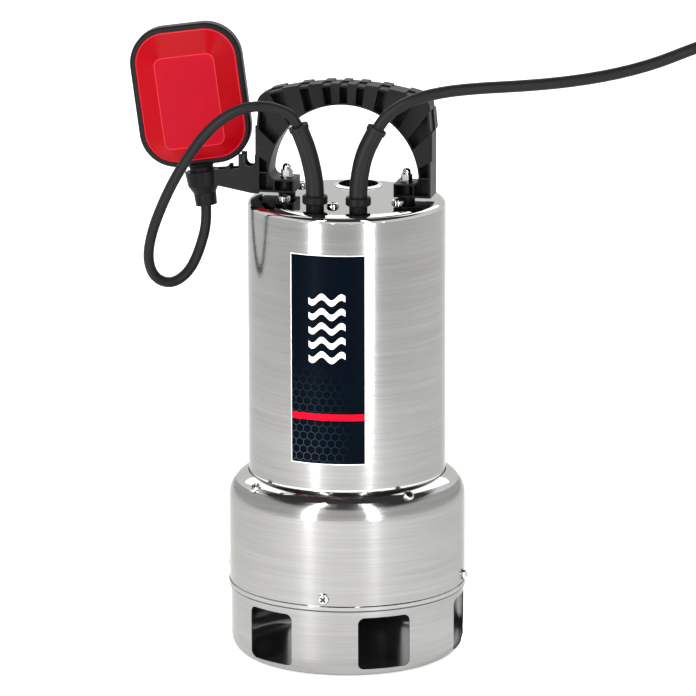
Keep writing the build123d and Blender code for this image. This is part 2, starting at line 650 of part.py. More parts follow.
def stator_windings():
    inner = BORE_R + SLOT_TIP + SLIP
    outer = BORE_R + SLOT_TIP + SLOT_DEPTH
    gap = 2 * SLIP
    lower = ring(outer, inner, STATOR_Z - WINDING_OVERHANG, STATOR_Z - gap)
    upper = ring(outer, inner, STATOR_TOP + gap, STATOR_TOP + WINDING_OVERHANG)
    lower = fillet(end_edges(lower, 0), SLOT_DEPTH * 0.3)
    upper = fillet(end_edges(upper, -1), SLOT_DEPTH * 0.3)
    coils = lower + upper
    coils += slot_cut(SLIP, STATOR_Z - gap - 1, STATOR_TOP + gap + 1)
    return coils


def rotor_core():
    core = ring(ROTOR_R, SHAFT_R + SEAT, STATOR_Z, STATOR_TOP)
    outer, inner = ROTOR_R - 2, SHAFT_R + END_RING
    core += ring(outer, inner, STATOR_Z - END_RING, STATOR_Z)
    core += ring(outer, inner, STATOR_TOP, STATOR_TOP + END_RING)
    return core


def capacitor():
    body = Pos(-CAPACITOR_L / 2, 0, 0) * Rot(0, 90, 0) * rod(CAPACITOR_R, 0, CAPACITOR_L)
    return Pos(0, 0, CAN_TOP - CAPACITOR_R - 6) * body


def can_top_cover():
    """Lid of the can, with bosses up to the jacket's top and sockets for the glands."""
    rim = CAN_IN - SEAT
    wall, edge = rim - RIM_WALL, CAN_R + SHEET + CAN_WALL
    plug, skirt = CAN_TOP - COVER_T / 2, CAN_TOP - COVER_T
    cover = turned((0, plug), (wall, plug), (wall, skirt), (rim, skirt), (rim, CAN_TOP),
                   (edge, CAN_TOP), (edge, COVER_TOP), (0, COVER_TOP))
    for x, y in TOP_SCREWS:
        cover += rod(TOP_BOSS_R, COVER_TOP - 1, JACKET_UNDER, x, y)
    for side in (-1, 1):
        x, top = gland_x(side), COVER_TOP + GLAND_SOCKET_H
        cover += rod(GLAND_R + 2.6, COVER_TOP - 1, top, x, GLAND_Y)
        cover -= rod(GLAND_R + SEAT, COVER_TOP, top + 1, x, GLAND_Y)
        cover -= rod(GLAND_BORE_R, skirt - 1, COVER_TOP + 1, x, GLAND_Y)
    for x, y in TOP_SCREWS:
        cover -= rod(SCREW_R + SEAT, COVER_TOP, JACKET_TOP, x, y)
    return cover


# ---------------------------------------------------------------- glands
def gland_x(side):
    return GLAND_MID + side * GLAND_X


def gland_body(side):
    """Sleeve from the can's lid through the jacket, with a notched end above it."""
    x = gland_x(side)
    body = ring(GLAND_R, GLAND_BORE_R, COVER_TOP, GLAND_TOP, x, GLAND_Y)
    wide, deep = GLAND_NOTCH
    notch = Pos(GLAND_R, 0, JACKET_TOP + GLAND_RISE / 2) * Box(2 * deep, wide, GLAND_RISE - 2)
    body -= [Pos(x, GLAND_Y, 0) * cut for cut in spin(notch, around(GLAND_NOTCHES, 15))]
    wide, high = GLAND_COLLAR
    collar = ring(GLAND_R + wide, GLAND_BORE_R, JACKET_UNDER - high, JACKET_UNDER, x, GLAND_Y)
    return body + collar


def gland_nut(side):
    nut = ring(GLAND_NUT_R, PROTECTOR_R + SEAT, GLAND_TOP, NUT_TOP, gland_x(side), GLAND_Y)
    rims = nut.edges().filter_by(GeomType.CIRCLE).sort_by(SortBy.RADIUS)[-2:]
    return chamfer(rims, 0.8)


def cord_start(side, lean):
    """First points of a cord, up through its gland and the bend protector."""
    x = gland_x(side)
    return [(x, GLAND_Y, GLAND_TOP - 4), (x, GLAND_Y, NUT_TOP + 10),
            (x + lean[0][0], GLAND_Y + lean[0][1], NUT_TOP + lean[0][2]),
            (x + lean[1][0], GLAND_Y + lean[1][1], NUT_TOP + lean[1][2])]


def bend_radii(points):
    """Largest even arc at each corner of a cord's route."""
    radii = []
    for before, here, after in zip(points, points[1:], points[2:]):
        run_in, run_out = Vector(here) - Vector(before), Vector(after) - Vector(here)
        half_turn = radians(run_in.get_angle(run_out)) / 2
        radii.append(0.45 * min(run_in.length, run_out.length) / tan(half_turn))
    return radii


def tube_along(points, radii, outer_r):
    path = FilletPolyline(*points, radius=radii)
    section = Plane(path @ 0, z_dir=path % 0) * Circle(outer_r)
    return sweep(section, path)


def bend_protector(side, lean, cord_d):
    """Rubber sleeve that follows the first stretch of the cord and ends in a bead."""
    start = cord_start(side, lean)
    radii = bend_radii(start + [free_route(side)[0]])
    third, fourth = Vector(start[2]), Vector(start[3])
    tip = third + (fourth - third) * PROTECTOR_REACH
    foot = (gland_x(side), GLAND_Y, GLAND_TOP + SEAT)
    points = [foot, start[1], start[2], tip]
    sleeve = tube_along(points, radii[:2], PROTECTOR_R)
    bead_plane = Plane(tip, z_dir=fourth - third)
    bead = Location(bead_plane) * rod(PROTECTOR_BEAD_R, -3.2, 0)
    bore = tube_along([start[0], start[1], start[2], start[3]], radii[:2], cord_d / 2 + CORD_FIT)
    return sleeve + bead - bore


def free_route(side):
    return POWER_ROUTE if side > 0 else FLOAT_ROUTE


def power_cord_points():
    return cord_start(1, POWER_LEAN) + list(POWER_ROUTE)


def float_cord_points():
    neck_end = FLOAT_PLACE * Pos(0, 0, -NECK_H)
    below = FLOAT_PLACE * Pos(0, 0, -NECK_H - CORD_RISE)
    return (cord_start(-1, FLOAT_LEAN) + list(FLOAT_ROUTE)
            + [tuple(below.position), tuple(neck_end.position)])


def cord_tube(name, points, diameter):
    radii = bend_radii(points)
    tube = tube_along(points, radii, diameter / 2)
    length = tube.volume / (pi * diameter ** 2 / 4)
    print(name, "length", round(length, 1), "radii", [round(r, 1) for r in radii])
    return tube


# ---------------------------------------------------------------- power cord's far end
def power_cord_coil():
    width, height = COIL_SECTION
    section = Pos(COIL_MID_R, height / 2) * RectangleRounded(width, height, COIL_ROUND)
    coil = revolve(Rot(90, 0, 0) * section, Axis.Z)
    return Pos(COIL_CENTRE[0], COIL_CENTRE[1], 0) * coil


def plug_frame():
    """Place of the plug, with +X from the cord towards the pins."""
    end, before = Vector(TAIL_ROUTE[-1]), Vector(TAIL_ROUTE[-2])
    return Plane(end, x_dir=end - before, z_dir=(0, 0, 1))


def plug_body():
    """Moulded plug that widens from the cord to its flat face."""
    length, width, height = PLUG
    small = Rot(0, 90, 0) * RectangleRounded(height * 0.62, 16, 5)
    large = Rot(0, 90, 0) * RectangleRounded(height, width, 8)
    shell = loft([small, Pos(length * 0.7, 0, 0) * large])
    shell += Pos(length * 0.7, 0, 0) * extrude(large, length * 0.3)
    return Location(plug_frame()) * shell


def plug_pins():
    """Three flat pins: two slanting live pins and an upright earth pin."""
    length = PLUG[0]
    blade = Pos(length, 0, 0) * Box(17, 1.6, 6.3, align=(Align.MIN, Align.CENTER, Align.CENTER))
    pins = [Pos(0, side * 7.9, 4) * Rot(side * -30, 0, 0) * blade for side in (-1, 1)]
    pins.append(Pos(0, 0, -6.5) * blade)
    return group([Location(plug_frame()) * pin for pin in pins])


# ---------------------------------------------------------------- handle
def handle_outline():
    """Outside of the arch, in X and height above the feet."""
    shoulder_x = HANDLE_HALF_W - SHOULDER_IN
    drop = HANDLE_CROWN_R - sqrt(HANDLE_CROWN_R ** 2 - shoulder_x ** 2)
    shoulder_h = HANDLE_H - drop
    crown = ThreePointArc((shoulder_x, shoulder_h), (0, HANDLE_H), (-shoulder_x, shoulder_h))
    left = Polyline((-shoulder_x, shoulder_h), (-HANDLE_HALF_W, POST_H), (-HANDLE_HALF_W, 0))
    right = Polyline((HANDLE_HALF_W, 0), (HANDLE_HALF_W, POST_H), (shoulder_x, shoulder_h))
    face = make_face(crown + left + right + Line((-HANDLE_HALF_W, 0), (HANDLE_HALF_W, 0)))
    corners = face.vertices().filter_by(lambda v: abs(v.Y - shoulder_h) < 0.01)
    return fillet(corners, SHOULDER_ROUND)


def handle_opening():
    """Hand space under the arch, down between the feet."""
    low, high = (Align.CENTER, Align.MAX), (Align.CENTER, Align.MIN)
    tall = Rectangle(3 * HANDLE_HALF_W, 2 * HANDLE_H, align=high)
    arch = Pos(0, HANDLE_ARCH_H) * Circle(HANDLE_ARCH_R) & Pos(0, FOOT_H) * tall
    corners = arch.vertices().filter_by(lambda v: abs(v.Y - FOOT_H) < 0.01)
    arch = fillet(corners, FOOT_ROUND)
    return arch + Pos(0, FOOT_H + 1) * Rectangle(2 * FOOT_END_X, FOOT_H + 3, align=low)


def between(first, second):
    """Band across the arch from one leaning side to another."""
    ends = []
    for x, height, lean in (first, second):
        run, rise = POCKET_REACH * sin(radians(lean)), POCKET_REACH * cos(radians(lean))
        ends.append(((x - run, height - rise), (x + run, height + rise)))
    (low, high), (low_2, high_2) = ends
    return make_face(Polyline(low, high, high_2, low_2, close=True))


def both(shape):
    """A flat shape on the right of the arch and its mirror image on the left."""
    return [shape, mirror(shape, Plane.YZ)]


def front_bands():
    """Bands of the front pockets; the back ones lie between them."""
    bands = [between(*POCKETS[0])]
    for pocket in POCKETS[1:]:
        bands += both(between(*pocket))
    return bands


def back_bands():
    bands = []
    for near, far in zip(POCKETS, (*POCKETS[1:], (POST_POCKET,))):
        bands += both(between(near[-1], far[0]))
    return bands


def post_pocket(inside):
    """Pocket of the post and the foot, crossed by two thin ribs."""
    x, height, lean = POST_POCKET
    run, rise = 1.7 * POCKET_REACH * sin(radians(lean)), 1.7 * POCKET_REACH * cos(radians(lean))
    corner = (x - run, height - rise)
    region = make_face(Polyline(corner, (x + run, height + rise), (x + run, -1), (corner[0], -1),
                                close=True))
    pocket = inside & region
    pocket -= Pos(x, POST_RIB_H) * Rectangle(POCKET_REACH, THIN_RIB)
    return pocket - Pos(FOOT_RIB_X, 0) * Rectangle(THIN_RIB, 2 * POCKET_REACH)


def handle():
    half, web = HANDLE_DEPTH / 2, HANDLE_WEB / 2
    outline, opening = handle_outline(), handle_opening()
    arch = upright(outline, -half, half, HANDLE_Z)
    arch -= upright(opening, -half - 1, half + 1, HANDLE_Z)
    inside = offset(outline, -HANDLE_FLANGE) - offset(opening, HANDLE_RIM)
    posts = both(post_pocket(inside))
    band = offset(outline, PAD_H) - outline
    for start, end, bands, pads in ((-half - 1, -web, front_bands(), back_bands()),
                                    (web, half + 1, back_bands(), front_bands())):
        for region in bands:
            arch -= upright(inside & region, start, end, HANDLE_Z)
        for region in posts:
            arch -= upright(region, start, end, HANDLE_Z)
        for region in pads:
            near, far = (-half, -PAD_SPLIT) if start < 0 else (PAD_SPLIT, half)
            arch += upright(band & region, near, far, HANDLE_Z)
    for side in (-1, 1):
        arch += rod(HANDLE_BOSS_R, JACKET_TOP, FOOT_TOP, side * STUD_X)
        arch -= rod(STUD_R + SLIP, JACKET_TOP - 1, FOOT_TOP + 1, side * STUD_X)
    for height in HOLDER_SCREWS:
        pilot = Rot(0, 90, 0) * rod(HOLDER_SCREW_R + SEAT, -1, HANDLE_FLANGE + 1)
        arch -= Pos(-HANDLE_HALF_W, 0, HANDLE_Z + height) * pilot
    return arch


def handle_studs():
    studs = []
    for side in (-1, 1):
        stud = rod(STUD_R, JACKET_UNDER, WASHER_TOP + NUT_H - 3, side * STUD_X)
        wide, high = STUD_HEAD
        studs.append(stud + rod(STUD_R + wide, JACKET_UNDER - high, JACKET_UNDER, side * STUD_X))
    return group(studs)


def handle_washers():
    return group([ring(WASHER_R, STUD_R + SLIP, FOOT_TOP, WASHER_TOP, side * STUD_X)
                  for side in (-1, 1)])


def acorn_nut():
    """Hexagon with a domed cap, standing on z = 0, bored for the stud."""
    hexagon = extrude(RegularPolygon(NUT_AF / 2, 6, major_radius=False), NUT_H * 0.5)
    cap_r = NUT_AF / 2 - 0.6
    cap = rod(cap_r, NUT_H * 0.5, NUT_H - cap_r) + Pos(0, 0, NUT_H - cap_r) * Sphere(cap_r)
    return hexagon + cap - rod(STUD_R + SEAT, -1, NUT_H - 2.6)


def acorn_nuts():
    return group([Pos(side * STUD_X, 0, WASHER_TOP) * acorn_nut() for side in (-1, 1)])


# ---------------------------------------------------------------- float holder
def float_holder():
    """Arm on the handle's post with a cord clip and a funnel for the float's neck."""
    post_x = -HANDLE_HALF_W - SEAT
    half = ARM_DEPTH / 2
    bottom = HANDLE_Z - ARM_FOOT
    top = HOLDER_TOP + ARM_RISE
    end_x = FLOAT_X + SLEEVE_R * 0.7
    arm = make_face(Polyline((post_x, top), (end_x, HOLDER_TOP + ARM_END_RISE),
                             (end_x, HOLDER_TOP - ARM_DROP),
                             (end_x + SLEEVE_R, HOLDER_TOP - ARM_DROP),
                             (post_x - 2 * ARM_WALL, bottom), (post_x, bottom), close=True))
    notch_r = CLIP_GAP / 2
    left = CLIP_X - notch_r - CLIP_PRONGS[0]
    right = CLIP_X + notch_r + CLIP_PRONGS[1]
    prongs = Pos((left + right) / 2, top) * Rectangle(right - left, 2 * CLIP_H)
    notch_low = top + CLIP_FLOOR + notch_r
    notch = Pos(CLIP_X, notch_low + CLIP_H / 2) * Rectangle(CLIP_GAP, CLIP_H)
    notch += Pos(CLIP_X, notch_low) * Circle(notch_r)
    arm_solid = upright(arm, -half, half)
    trough = upright(Pos(0, ARM_WALL + 1) * arm, -half + ARM_WALL, half - ARM_WALL)
    arm_solid -= trough
    reach, wide, high = ARM_TOOTH
    tooth_z = top - (ARM_RISE - ARM_END_RISE) * reach / (post_x - end_x)
    tooth = make_face(Polyline((post_x - reach, tooth_z - 1), (post_x - reach, tooth_z + high),
                               (post_x - reach - wide / 2, tooth_z + high),
                               (post_x - reach - wide, tooth_z - 1), close=True))
    for form in (prongs, tooth):
        arm_solid += upright(form, -half, -half + ARM_WALL)
        arm_solid += upright(form, half - ARM_WALL, half)
    arm_solid -= upright(notch, -half - 1, half + 1)
    plate = Pos(post_x - ARM_WALL / 2, 0, (bottom + top) / 2) * Box(ARM_WALL, ARM_DEPTH,
                                                                    top - bottom)
    funnel = turned((SLEEVE_R - 0.5, -FUNNEL_H - SLEEVE_H), (SLEEVE_R, -FUNNEL_H),
                    (FUNNEL_R - 1, -FUNNEL_H * 0.64), (FUNNEL_R, 0), (0, 0),
                    (0, -FUNNEL_H - SLEEVE_H))
    bore = turned((0, 1), (NECK_R + NECK_FIT, 1), (NECK_R + NECK_FIT, -NECK_H - SEAT),
                  (SLEEVE_BORE_R, -NECK_H - SEAT), (SLEEVE_BORE_R, -FUNNEL_H - SLEEVE_H - 1),
                  (0, -FUNNEL_H - SLEEVE_H - 1))
    holder = arm_solid + plate + FLOAT_PLACE * funnel
    holder -= FLOAT_PLACE * (bore + rod(NECK_R + NECK_FIT, 0, 4) + rod(NECK_R + 3, 2, 14))
    for height in HOLDER_SCREWS:
        hole = Rot(0, 90, 0) * rod(HOLDER_SCREW_R + SEAT, -2 * ARM_WALL, 1)
        holder -= Pos(post_x, 0, HANDLE_Z + height) * hole
    return holder


def holder_screws():
    screw = Rot(0, -90, 0) * pan_screw(*HOLDER_SCREW_HEAD, HOLDER_SCREW_R, 2 * ARM_WALL)
    seat_x = -HANDLE_HALF_W - SEAT - ARM_WALL
    return group([Pos(seat_x, 0, HANDLE_Z + height) * screw for height in HOLDER_SCREWS])


# ---------------------------------------------------------------- float
def float_frame():
    """Black rim of the float with the neck that its cord enters."""
    half = FLOAT_RIM_DEPTH / 2
    rim = rounded_box(FLOAT_W, FLOAT_H, FLOAT_R, -half, half, FLOAT_MID)
    rim = fillet(rim.edges().group_by(Axis.Y)[0] + rim.edges().group_by(Axis.Y)[-1], 2.5)
    rim -= rounded_box(FLOAT_W - 2 * FLOAT_RIM, FLOAT_H - 2 * FLOAT_RIM, FLOAT_R - FLOAT_RIM,
                       -half - 1, half + 1, FLOAT_MID)
    neck = turned((0, -NECK_H), (NECK_R - 0.8, -NECK_H), (NECK_R, -NECK_H + 6),
                  (NECK_R, FLOAT_LIFT_OFF - 2), (NECK_R + 2, FLOAT_LIFT_OFF + 1),
                  (0, FLOAT_LIFT_OFF + 1))
    return FLOAT_PLACE * (rim + neck)


def cover_skin(inset, depth):
    """Solid dome from the float's middle plane out to a flat face, in its own frame."""
    width = FLOAT_W - 2 * FLOAT_RIM - 2 * inset
    height = FLOAT_H - 2 * FLOAT_RIM - 2 * inset
    round_r = FLOAT_R - FLOAT_RIM - inset
    edge_y = FLOAT_RIM_DEPTH / 2 - 1
    rim = RectangleRounded(width, height, round_r)
    flat = Pos(0, -COVER_FLAT_DROP, depth) * RectangleRounded(*COVER_FLAT, COVER_FLAT_R)
    dome = extrude(rim, edge_y) + loft([Pos(0, 0, edge_y) * rim, flat])
    return dome + extrude(flat, COVER_STEP)


def switch_stem(clearance):
    """Foot of the switch box, which stands on the rim between the covers."""
    width, depth, height = SWITCH_STEM
    foot = Box(width + 2 * clearance, depth + 2 * clearance, height)
    return Pos(0, 0, SWITCH_FOOT + height / 2 - clearance) * foot


def float_cover(side):
    """Red half-shell; the front one has side -1 and the rear one side 1."""
    depth = FLOAT_RIM_DEPTH / 2 + COVER_RISE
    shell = cover_skin(SEAT, depth) - cover_skin(COVER_WALL, depth - COVER_WALL)
    shell = Pos(0, 0, SEAT) * shell
    shell = Pos(0, 0, FLOAT_MID) * Rot(90, 0, 0) * shell
    if side > 0:
        shell = mirror(shell, Plane.XZ)
    return FLOAT_PLACE * (shell - switch_stem(SLIP))


def float_switch_box():
    """Switch housing above the neck, with the tube that the ball rolls in."""
    width, depth, height = SWITCH_SIZE
    box = Pos(0, 0, SWITCH_TOP - height / 2) * Box(width, depth, height)
    box += switch_stem(0)
    tube = ring(SWITCH_BALL_R + 2, SWITCH_BALL_R + 0.5, SWITCH_TOP - 1,
                BALL_REST_Z + BALL_TRAVEL + SWITCH_BALL_R + 1)
    slot = Pos(SWITCH_BALL_R + 1, 0, SWITCH_TOP + 3.5) * Box(8, LEVER_W + 2, 7)
    pin = Rot(90, 0, 0) * Cylinder(LEVER_PIN_R, LEVER_W + 4)
    box += Pos(LEVER_PIN_X, 0, LEVER_PIN_Z) * pin
    lug = Box(3 * LEVER_PIN_R, 1.4, LEVER_PIN_Z - SWITCH_TOP + 2 * LEVER_PIN_R + 1)
    for side in (-1, 1):
        box += Pos(LEVER_PIN_X - 0.7, side * (LEVER_W / 2 + 1.1), SWITCH_TOP + 1) * lug
    return FLOAT_PLACE * (box + (tube - slot))


def switch_lever():
    """Rocker under the ball, balanced about a pin beside the tube."""
    length = LEVER_PIN_X + LEVER_TAIL
    plate = Pos(length / 2, 0, LEVER_PIN_Z) * Box(length, LEVER_W, LEVER_T)
    barrel = Rot(90, 0, 0) * Cylinder(2 * LEVER_PIN_R, LEVER_W)
    bore = Rot(90, 0, 0) * Cylinder(LEVER_PIN_R + RUN, LEVER_W + 2)
    lever = plate + Pos(LEVER_PIN_X, 0, LEVER_PIN_Z) * barrel
    return FLOAT_PLACE * (lever - Pos(LEVER_PIN_X, 0, LEVER_PIN_Z) * bore)


def switch_ball():
    return FLOAT_PLACE * Pos(0, 0, BALL_REST_Z) * Sphere(SWITCH_BALL_R)


# ---------------------------------------------------------------- assembly
def build():
    lower_inner, lower_outer, lower_balls = ball_bearing(LOWER_BEARING, LOWER_BEARING_Z)
    upper_inner, upper_outer, upper_balls = ball_bearing(UPPER_BEARING, UPPER_BEARING_Z)
    short = pan_screw(SCREW_HEAD_R - 0.4, SCREW_HEAD_H - 0.4, SCREW_R, SHEET_SCREW_L)
    top_screw = pan_screw(SCREW_HEAD_R, SCREW_HEAD_H, SCREW_R, TOP_SCREW_L)
    cover_screw = pan_screw(SCREW_HEAD_R - 0.6, SCREW_HEAD_H, SCREW_R, COVER_SCREW_L)
    cover_screw = Rot(180, 0, 0) * cover_screw
    rim_nut = radial(ring(RIM_NUT_R, SCREW_R + SEAT, -RIM_NUT_L, 0), CUP_R, RIM_SCREW_Z)
    seal_top = SEAL_FACE_Z - RUN
    return {
        "strainer_cup": strainer_cup(),
        "outer_casing": outer_casing(),
        "clamp_ring": clamp_ring(),
        "motor_jacket": motor_jacket(),
        "discharge_socket": discharge_socket(),
        "rim_screws": group(spin(radial(short, CASING_R, RIM_SCREW_Z), around(4))),
        "rim_nuts": group(spin(rim_nut, around(4))),
        "shoulder_screws": group(spin(on_shoulder(short), around(4, 45))),
        "top_screws": group([Pos(x, y, JACKET_TOP) * top_screw for x, y in TOP_SCREWS]),
        "suction_cover": suction_cover(),
        "suction_cover_screws": group(spin(Pos(SUCTION_SCREW_R, 0, SUCTION_COVER_Z) * cover_screw,
                                           SUCTION_SCREW_ANGLES)),
        "volute_casing": volute_casing(),
        "volute_o_ring": o_ring(CASING_IN, CUP_TOP + FLANGE_T / 2),
        "impeller": impeller(),
        "impeller_nut": impeller_nut(),
        "seal_housing": seal_housing(),
        "seal_seat": ring(SEAL_R, SEAL_SEAT_R + 4 * RUN, SEAL_FACE_Z,
                          SEAL_FACE_Z + SEAL_SEAT_H),
        "seal_head": ring(SEAL_R - 1, SEAL_SEAT_R + SEAT, seal_top - SEAL_HEAD_H, seal_top),
        "seal_bellows": seal_bellows(),
        "oil_chamber_cover": oil_chamber_cover(),
        "lip_seal": ring(LIP_SEAL_R, LOWER_BEARING[0] - SEAT + RUN, SEAL_TOP, LOWER_BEARING_Z),
        "lower_bearing_inner": lower_inner,
        "lower_bearing_outer": lower_outer,
        "lower_bearing_balls": lower_balls,
        "upper_bearing_inner": upper_inner,
        "upper_bearing_outer": upper_outer,
        "upper_bearing_balls": upper_balls,
        "upper_bearing_bracket": upper_bearing_bracket(),
        "motor_shaft": motor_shaft(),
        "motor_can": motor_can(),
        "stator_core": stator_core(),
        "stator_windings": stator_windings(),
        "rotor_core": rotor_core(),
        "capacitor": capacitor(),
        "can_top_cover": can_top_cover(),
        "power_gland_body": gland_body(1),
        "float_gland_body": gland_body(-1),
        "power_gland_nut": gland_nut(1),
        "float_gland_nut": gland_nut(-1),
        "power_bend_protector": bend_protector(1, POWER_LEAN, POWER_CORD_D),
        "float_bend_protector": bend_protector(-1, FLOAT_LEAN, FLOAT_CORD_D),
        "power_cord": cord_tube("power_cord", power_cord_points(), POWER_CORD_D),
        "power_cord_coil": power_cord_coil(),
        "power_cord_tail": cord_tube("power_cord_tail", TAIL_ROUTE, POWER_CORD_D),
        "plug_body": plug_body(),
        "plug_pins": plug_pins(),
        "handle": handle(),
        "handle_studs": handle_studs(),
        "handle_washers": handle_washers(),
        "acorn_nuts": acorn_nuts(),
        "float_holder": float_holder(),
        "holder_screws": holder_screws(),
        "float_cord": cord_tube("float_cord", float_cord_points(), FLOAT_CORD_D),
        "float_frame": float_frame(),
        "float_front_cover": float_cover(-1),
        "float_rear_cover": float_cover(1),
        "float_switch_box": float_switch_box(),
        "switch_lever": switch_lever(),
        "switch_ball": switch_ball(),
    }


os.makedirs("parts", exist_ok=True)
for name, shape in build().items():
    export_step(shape, f"parts/{name}.step")
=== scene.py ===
# %% [markdown]
# # Submersible sump pump: the looks around the CAD frame
#
# The CAD part gives the pump's solids and its joints. This script dresses them: procedural
# finishes for every solid, the two rubber cords as real lengths of cord, cross-recessed screws
# and the label on the jacket. The frame is the CAD part's own: the origin is at the centre of
# the base, Z is up, the handle spans X and the cable glands face -Y. Blender works in metres.
# Sizes of pieces are written in millimetres, as in a drawing, and multiplied by MM.

# %% Load the frame
import json
from math import atan2, cos, pi, radians, sin

import bmesh
import bpy
from mathutils import Matrix, Vector


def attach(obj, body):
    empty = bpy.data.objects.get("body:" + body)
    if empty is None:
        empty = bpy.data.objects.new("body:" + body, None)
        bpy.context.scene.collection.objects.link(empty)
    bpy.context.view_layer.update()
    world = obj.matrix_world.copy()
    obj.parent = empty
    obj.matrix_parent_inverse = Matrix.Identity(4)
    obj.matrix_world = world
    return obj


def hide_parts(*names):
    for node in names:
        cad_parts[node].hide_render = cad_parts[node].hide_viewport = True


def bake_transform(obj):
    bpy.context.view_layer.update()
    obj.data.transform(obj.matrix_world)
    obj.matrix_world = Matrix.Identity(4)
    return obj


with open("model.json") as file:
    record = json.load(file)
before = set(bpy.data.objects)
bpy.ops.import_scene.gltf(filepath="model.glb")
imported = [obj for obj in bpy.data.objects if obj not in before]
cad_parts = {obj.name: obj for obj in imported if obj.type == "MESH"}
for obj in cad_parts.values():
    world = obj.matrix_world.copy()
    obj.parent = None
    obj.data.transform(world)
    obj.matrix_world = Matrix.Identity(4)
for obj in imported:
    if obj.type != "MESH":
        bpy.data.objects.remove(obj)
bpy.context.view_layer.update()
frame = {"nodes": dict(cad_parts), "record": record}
nodes = frame["nodes"]
MM = 0.001
scene = bpy.context.scene

# %% [markdown]
# ## Camera
#
# The camera stands in front of the pump and a little to its right, 13.3 degrees above the
# horizontal. A short lens from nearby would frame it as well, but the walls would lean towards
# each other. A long lens from far away keeps them almost parallel, as product pictures do. The
# turn, rise and roll give three axes, and the axes give the camera's matrix.

# %% Camera
VIEW_TURN = radians(11.6)
VIEW_RISE = 0.2319
VIEW_ROLL = -0.0021
VIEW_DISTANCE = 4.4896
AIM_RIGHT, AIM_UP = 0.00078, 0.23602
SENSOR_W = 36
FOCAL_WIDTHS = 8.49951              # focal length in sensor widths


def camera_axes():
    """The level line across the view, and the camera's right, up and back."""
    level = Vector((cos(VIEW_TURN), sin(VIEW_TURN), 0))
    back = Vector((sin(VIEW_TURN) * cos(VIEW_RISE), -cos(VIEW_TURN) * cos(VIEW_RISE),
                   sin(VIEW_RISE)))
    high = back.cross(level)
    right = cos(VIEW_ROLL) * level + sin(VIEW_ROLL) * high
    return level, right, back.cross(right), back


level, right, up, back = camera_axes()
aim = level * AIM_RIGHT + Vector((0, 0, AIM_UP))
lens = bpy.data.cameras.new("camera")
lens.sensor_width = SENSOR_W
lens.lens = SENSOR_W * FOCAL_WIDTHS
lens.clip_end = 50
camera = bpy.data.objects.new("camera", lens)
camera.matrix_world = Matrix((right, up, back)).transposed().to_4x4()
camera.location = aim + back * VIEW_DISTANCE
scene.collection.objects.link(camera)
scene.camera = camera
scene.view_settings.view_transform = "Standard"
print("camera at", [round(v, 3) for v in camera.location], "lens", round(lens.lens, 1), "mm")

# %% [markdown]
# ## Shader arithmetic
#
# A finish is a small calculation on a point's place: how far up the wall it is, whether it lies
# on a bend, how a noise falls there. The nodes could be linked one by one, but a page of links
# hides the sum. `Wire` wraps an output of a node and overloads + - * /, so that a finish reads
# as arithmetic. Numbers use Math nodes, places use Vector Math and colours use Mix.

# %% Shader helpers
class Wire:
    """An output of a shader node that can be calculated with."""

    def __init__(self, tree, socket):
        self.tree, self.socket = tree, socket

    def node(self, kind, inputs, output=0, **settings):
        """Any other node, fed with these inputs, as a Wire on one of its outputs."""
        return add_node(self.tree, kind, inputs, output, **settings)

    def math(self, operation, *others):
        return self.node("ShaderNodeMath", dict(enumerate((self, *others))),
                         operation=operation)

    def __add__(self, other):
        return self.math("ADD", other)

    def __radd__(self, other):
        return self.math("ADD", other)

    def __sub__(self, other):
        return self.math("SUBTRACT", other)

    def __rsub__(self, other):
        return (self * -1).math("ADD", other)

    def __mul__(self, other):
        return self.math("MULTIPLY", other)

    def __rmul__(self, other):
        return self.math("MULTIPLY", other)

    def __truediv__(self, other):
        return self.math("DIVIDE", other)

    def __neg__(self):
        return self * -1

    def less(self, other):
        return self.math("LESS_THAN", other)

    def more(self, other):
        return self.math("GREATER_THAN", other)

    def most(self, other):
        return self.math("MAXIMUM", other)

    def size(self):
        return self.math("ABSOLUTE")

    def sine(self):
        return self.math("SINE")

    def root(self):
        return self.math("SQRT")

    def wrap(self, period):
        """Distance from the middle of the nearest of even cells."""
        return self.math("FLOORED_MODULO", period) - period / 2

    def between(self, low, high):
        """1 inside a range and 0 outside it."""
        return self.more(low) * self.less(high)

    def fade(self, start, end):
        """0 before start, 1 after end, even in between."""
        inputs = {"Value": self, "From Min": start, "From Max": end}
        return self.node("ShaderNodeMapRange", inputs, clamp=True)

    def blend(self, first, second):
        """Colour that goes from first to second as this value goes from 0 to 1."""
        inputs = {0: self, 6: first, 7: second}
        return self.node("ShaderNodeMix", inputs, 2, data_type="RGBA")

    def scale(self, factors):
        """Vector multiplied axis by axis."""
        return self.node("ShaderNodeVectorMath", {0: self, 1: factors}, operation="MULTIPLY")

    def parts(self):
        """The X, Y and Z of a vector."""
        split = self.node("ShaderNodeSeparateXYZ", {0: self}).socket.node
        return [Wire(self.tree, socket) for socket in split.outputs]

    def noise(self, scale, detail=2.0, roughness=0.5):
        inputs = {"Vector": self, "Scale": scale, "Detail": detail, "Roughness": roughness}
        return self.node("ShaderNodeTexNoise", inputs)


def add_node(tree, kind, inputs, output=0, **settings):
    made = tree.nodes.new(kind)
    for key, value in settings.items():
        setattr(made, key, value)
    for key, value in inputs.items():
        if isinstance(value, Wire):
            tree.links.new(value.socket, made.inputs[key])
        else:
            made.inputs[key].default_value = value
    return Wire(tree, made.outputs[output])


# %% [markdown]
# A look is a function from a point's place to the values of the shader's sockets. `finish` makes
# the material from it. A constant goes straight on its socket, and only what varies over the
# surface is linked. Object coordinates hold a pattern still on its piece when the piece moves.

# %% Materials from looks
def colour(*rgb):
    return (*rgb, 1.0)


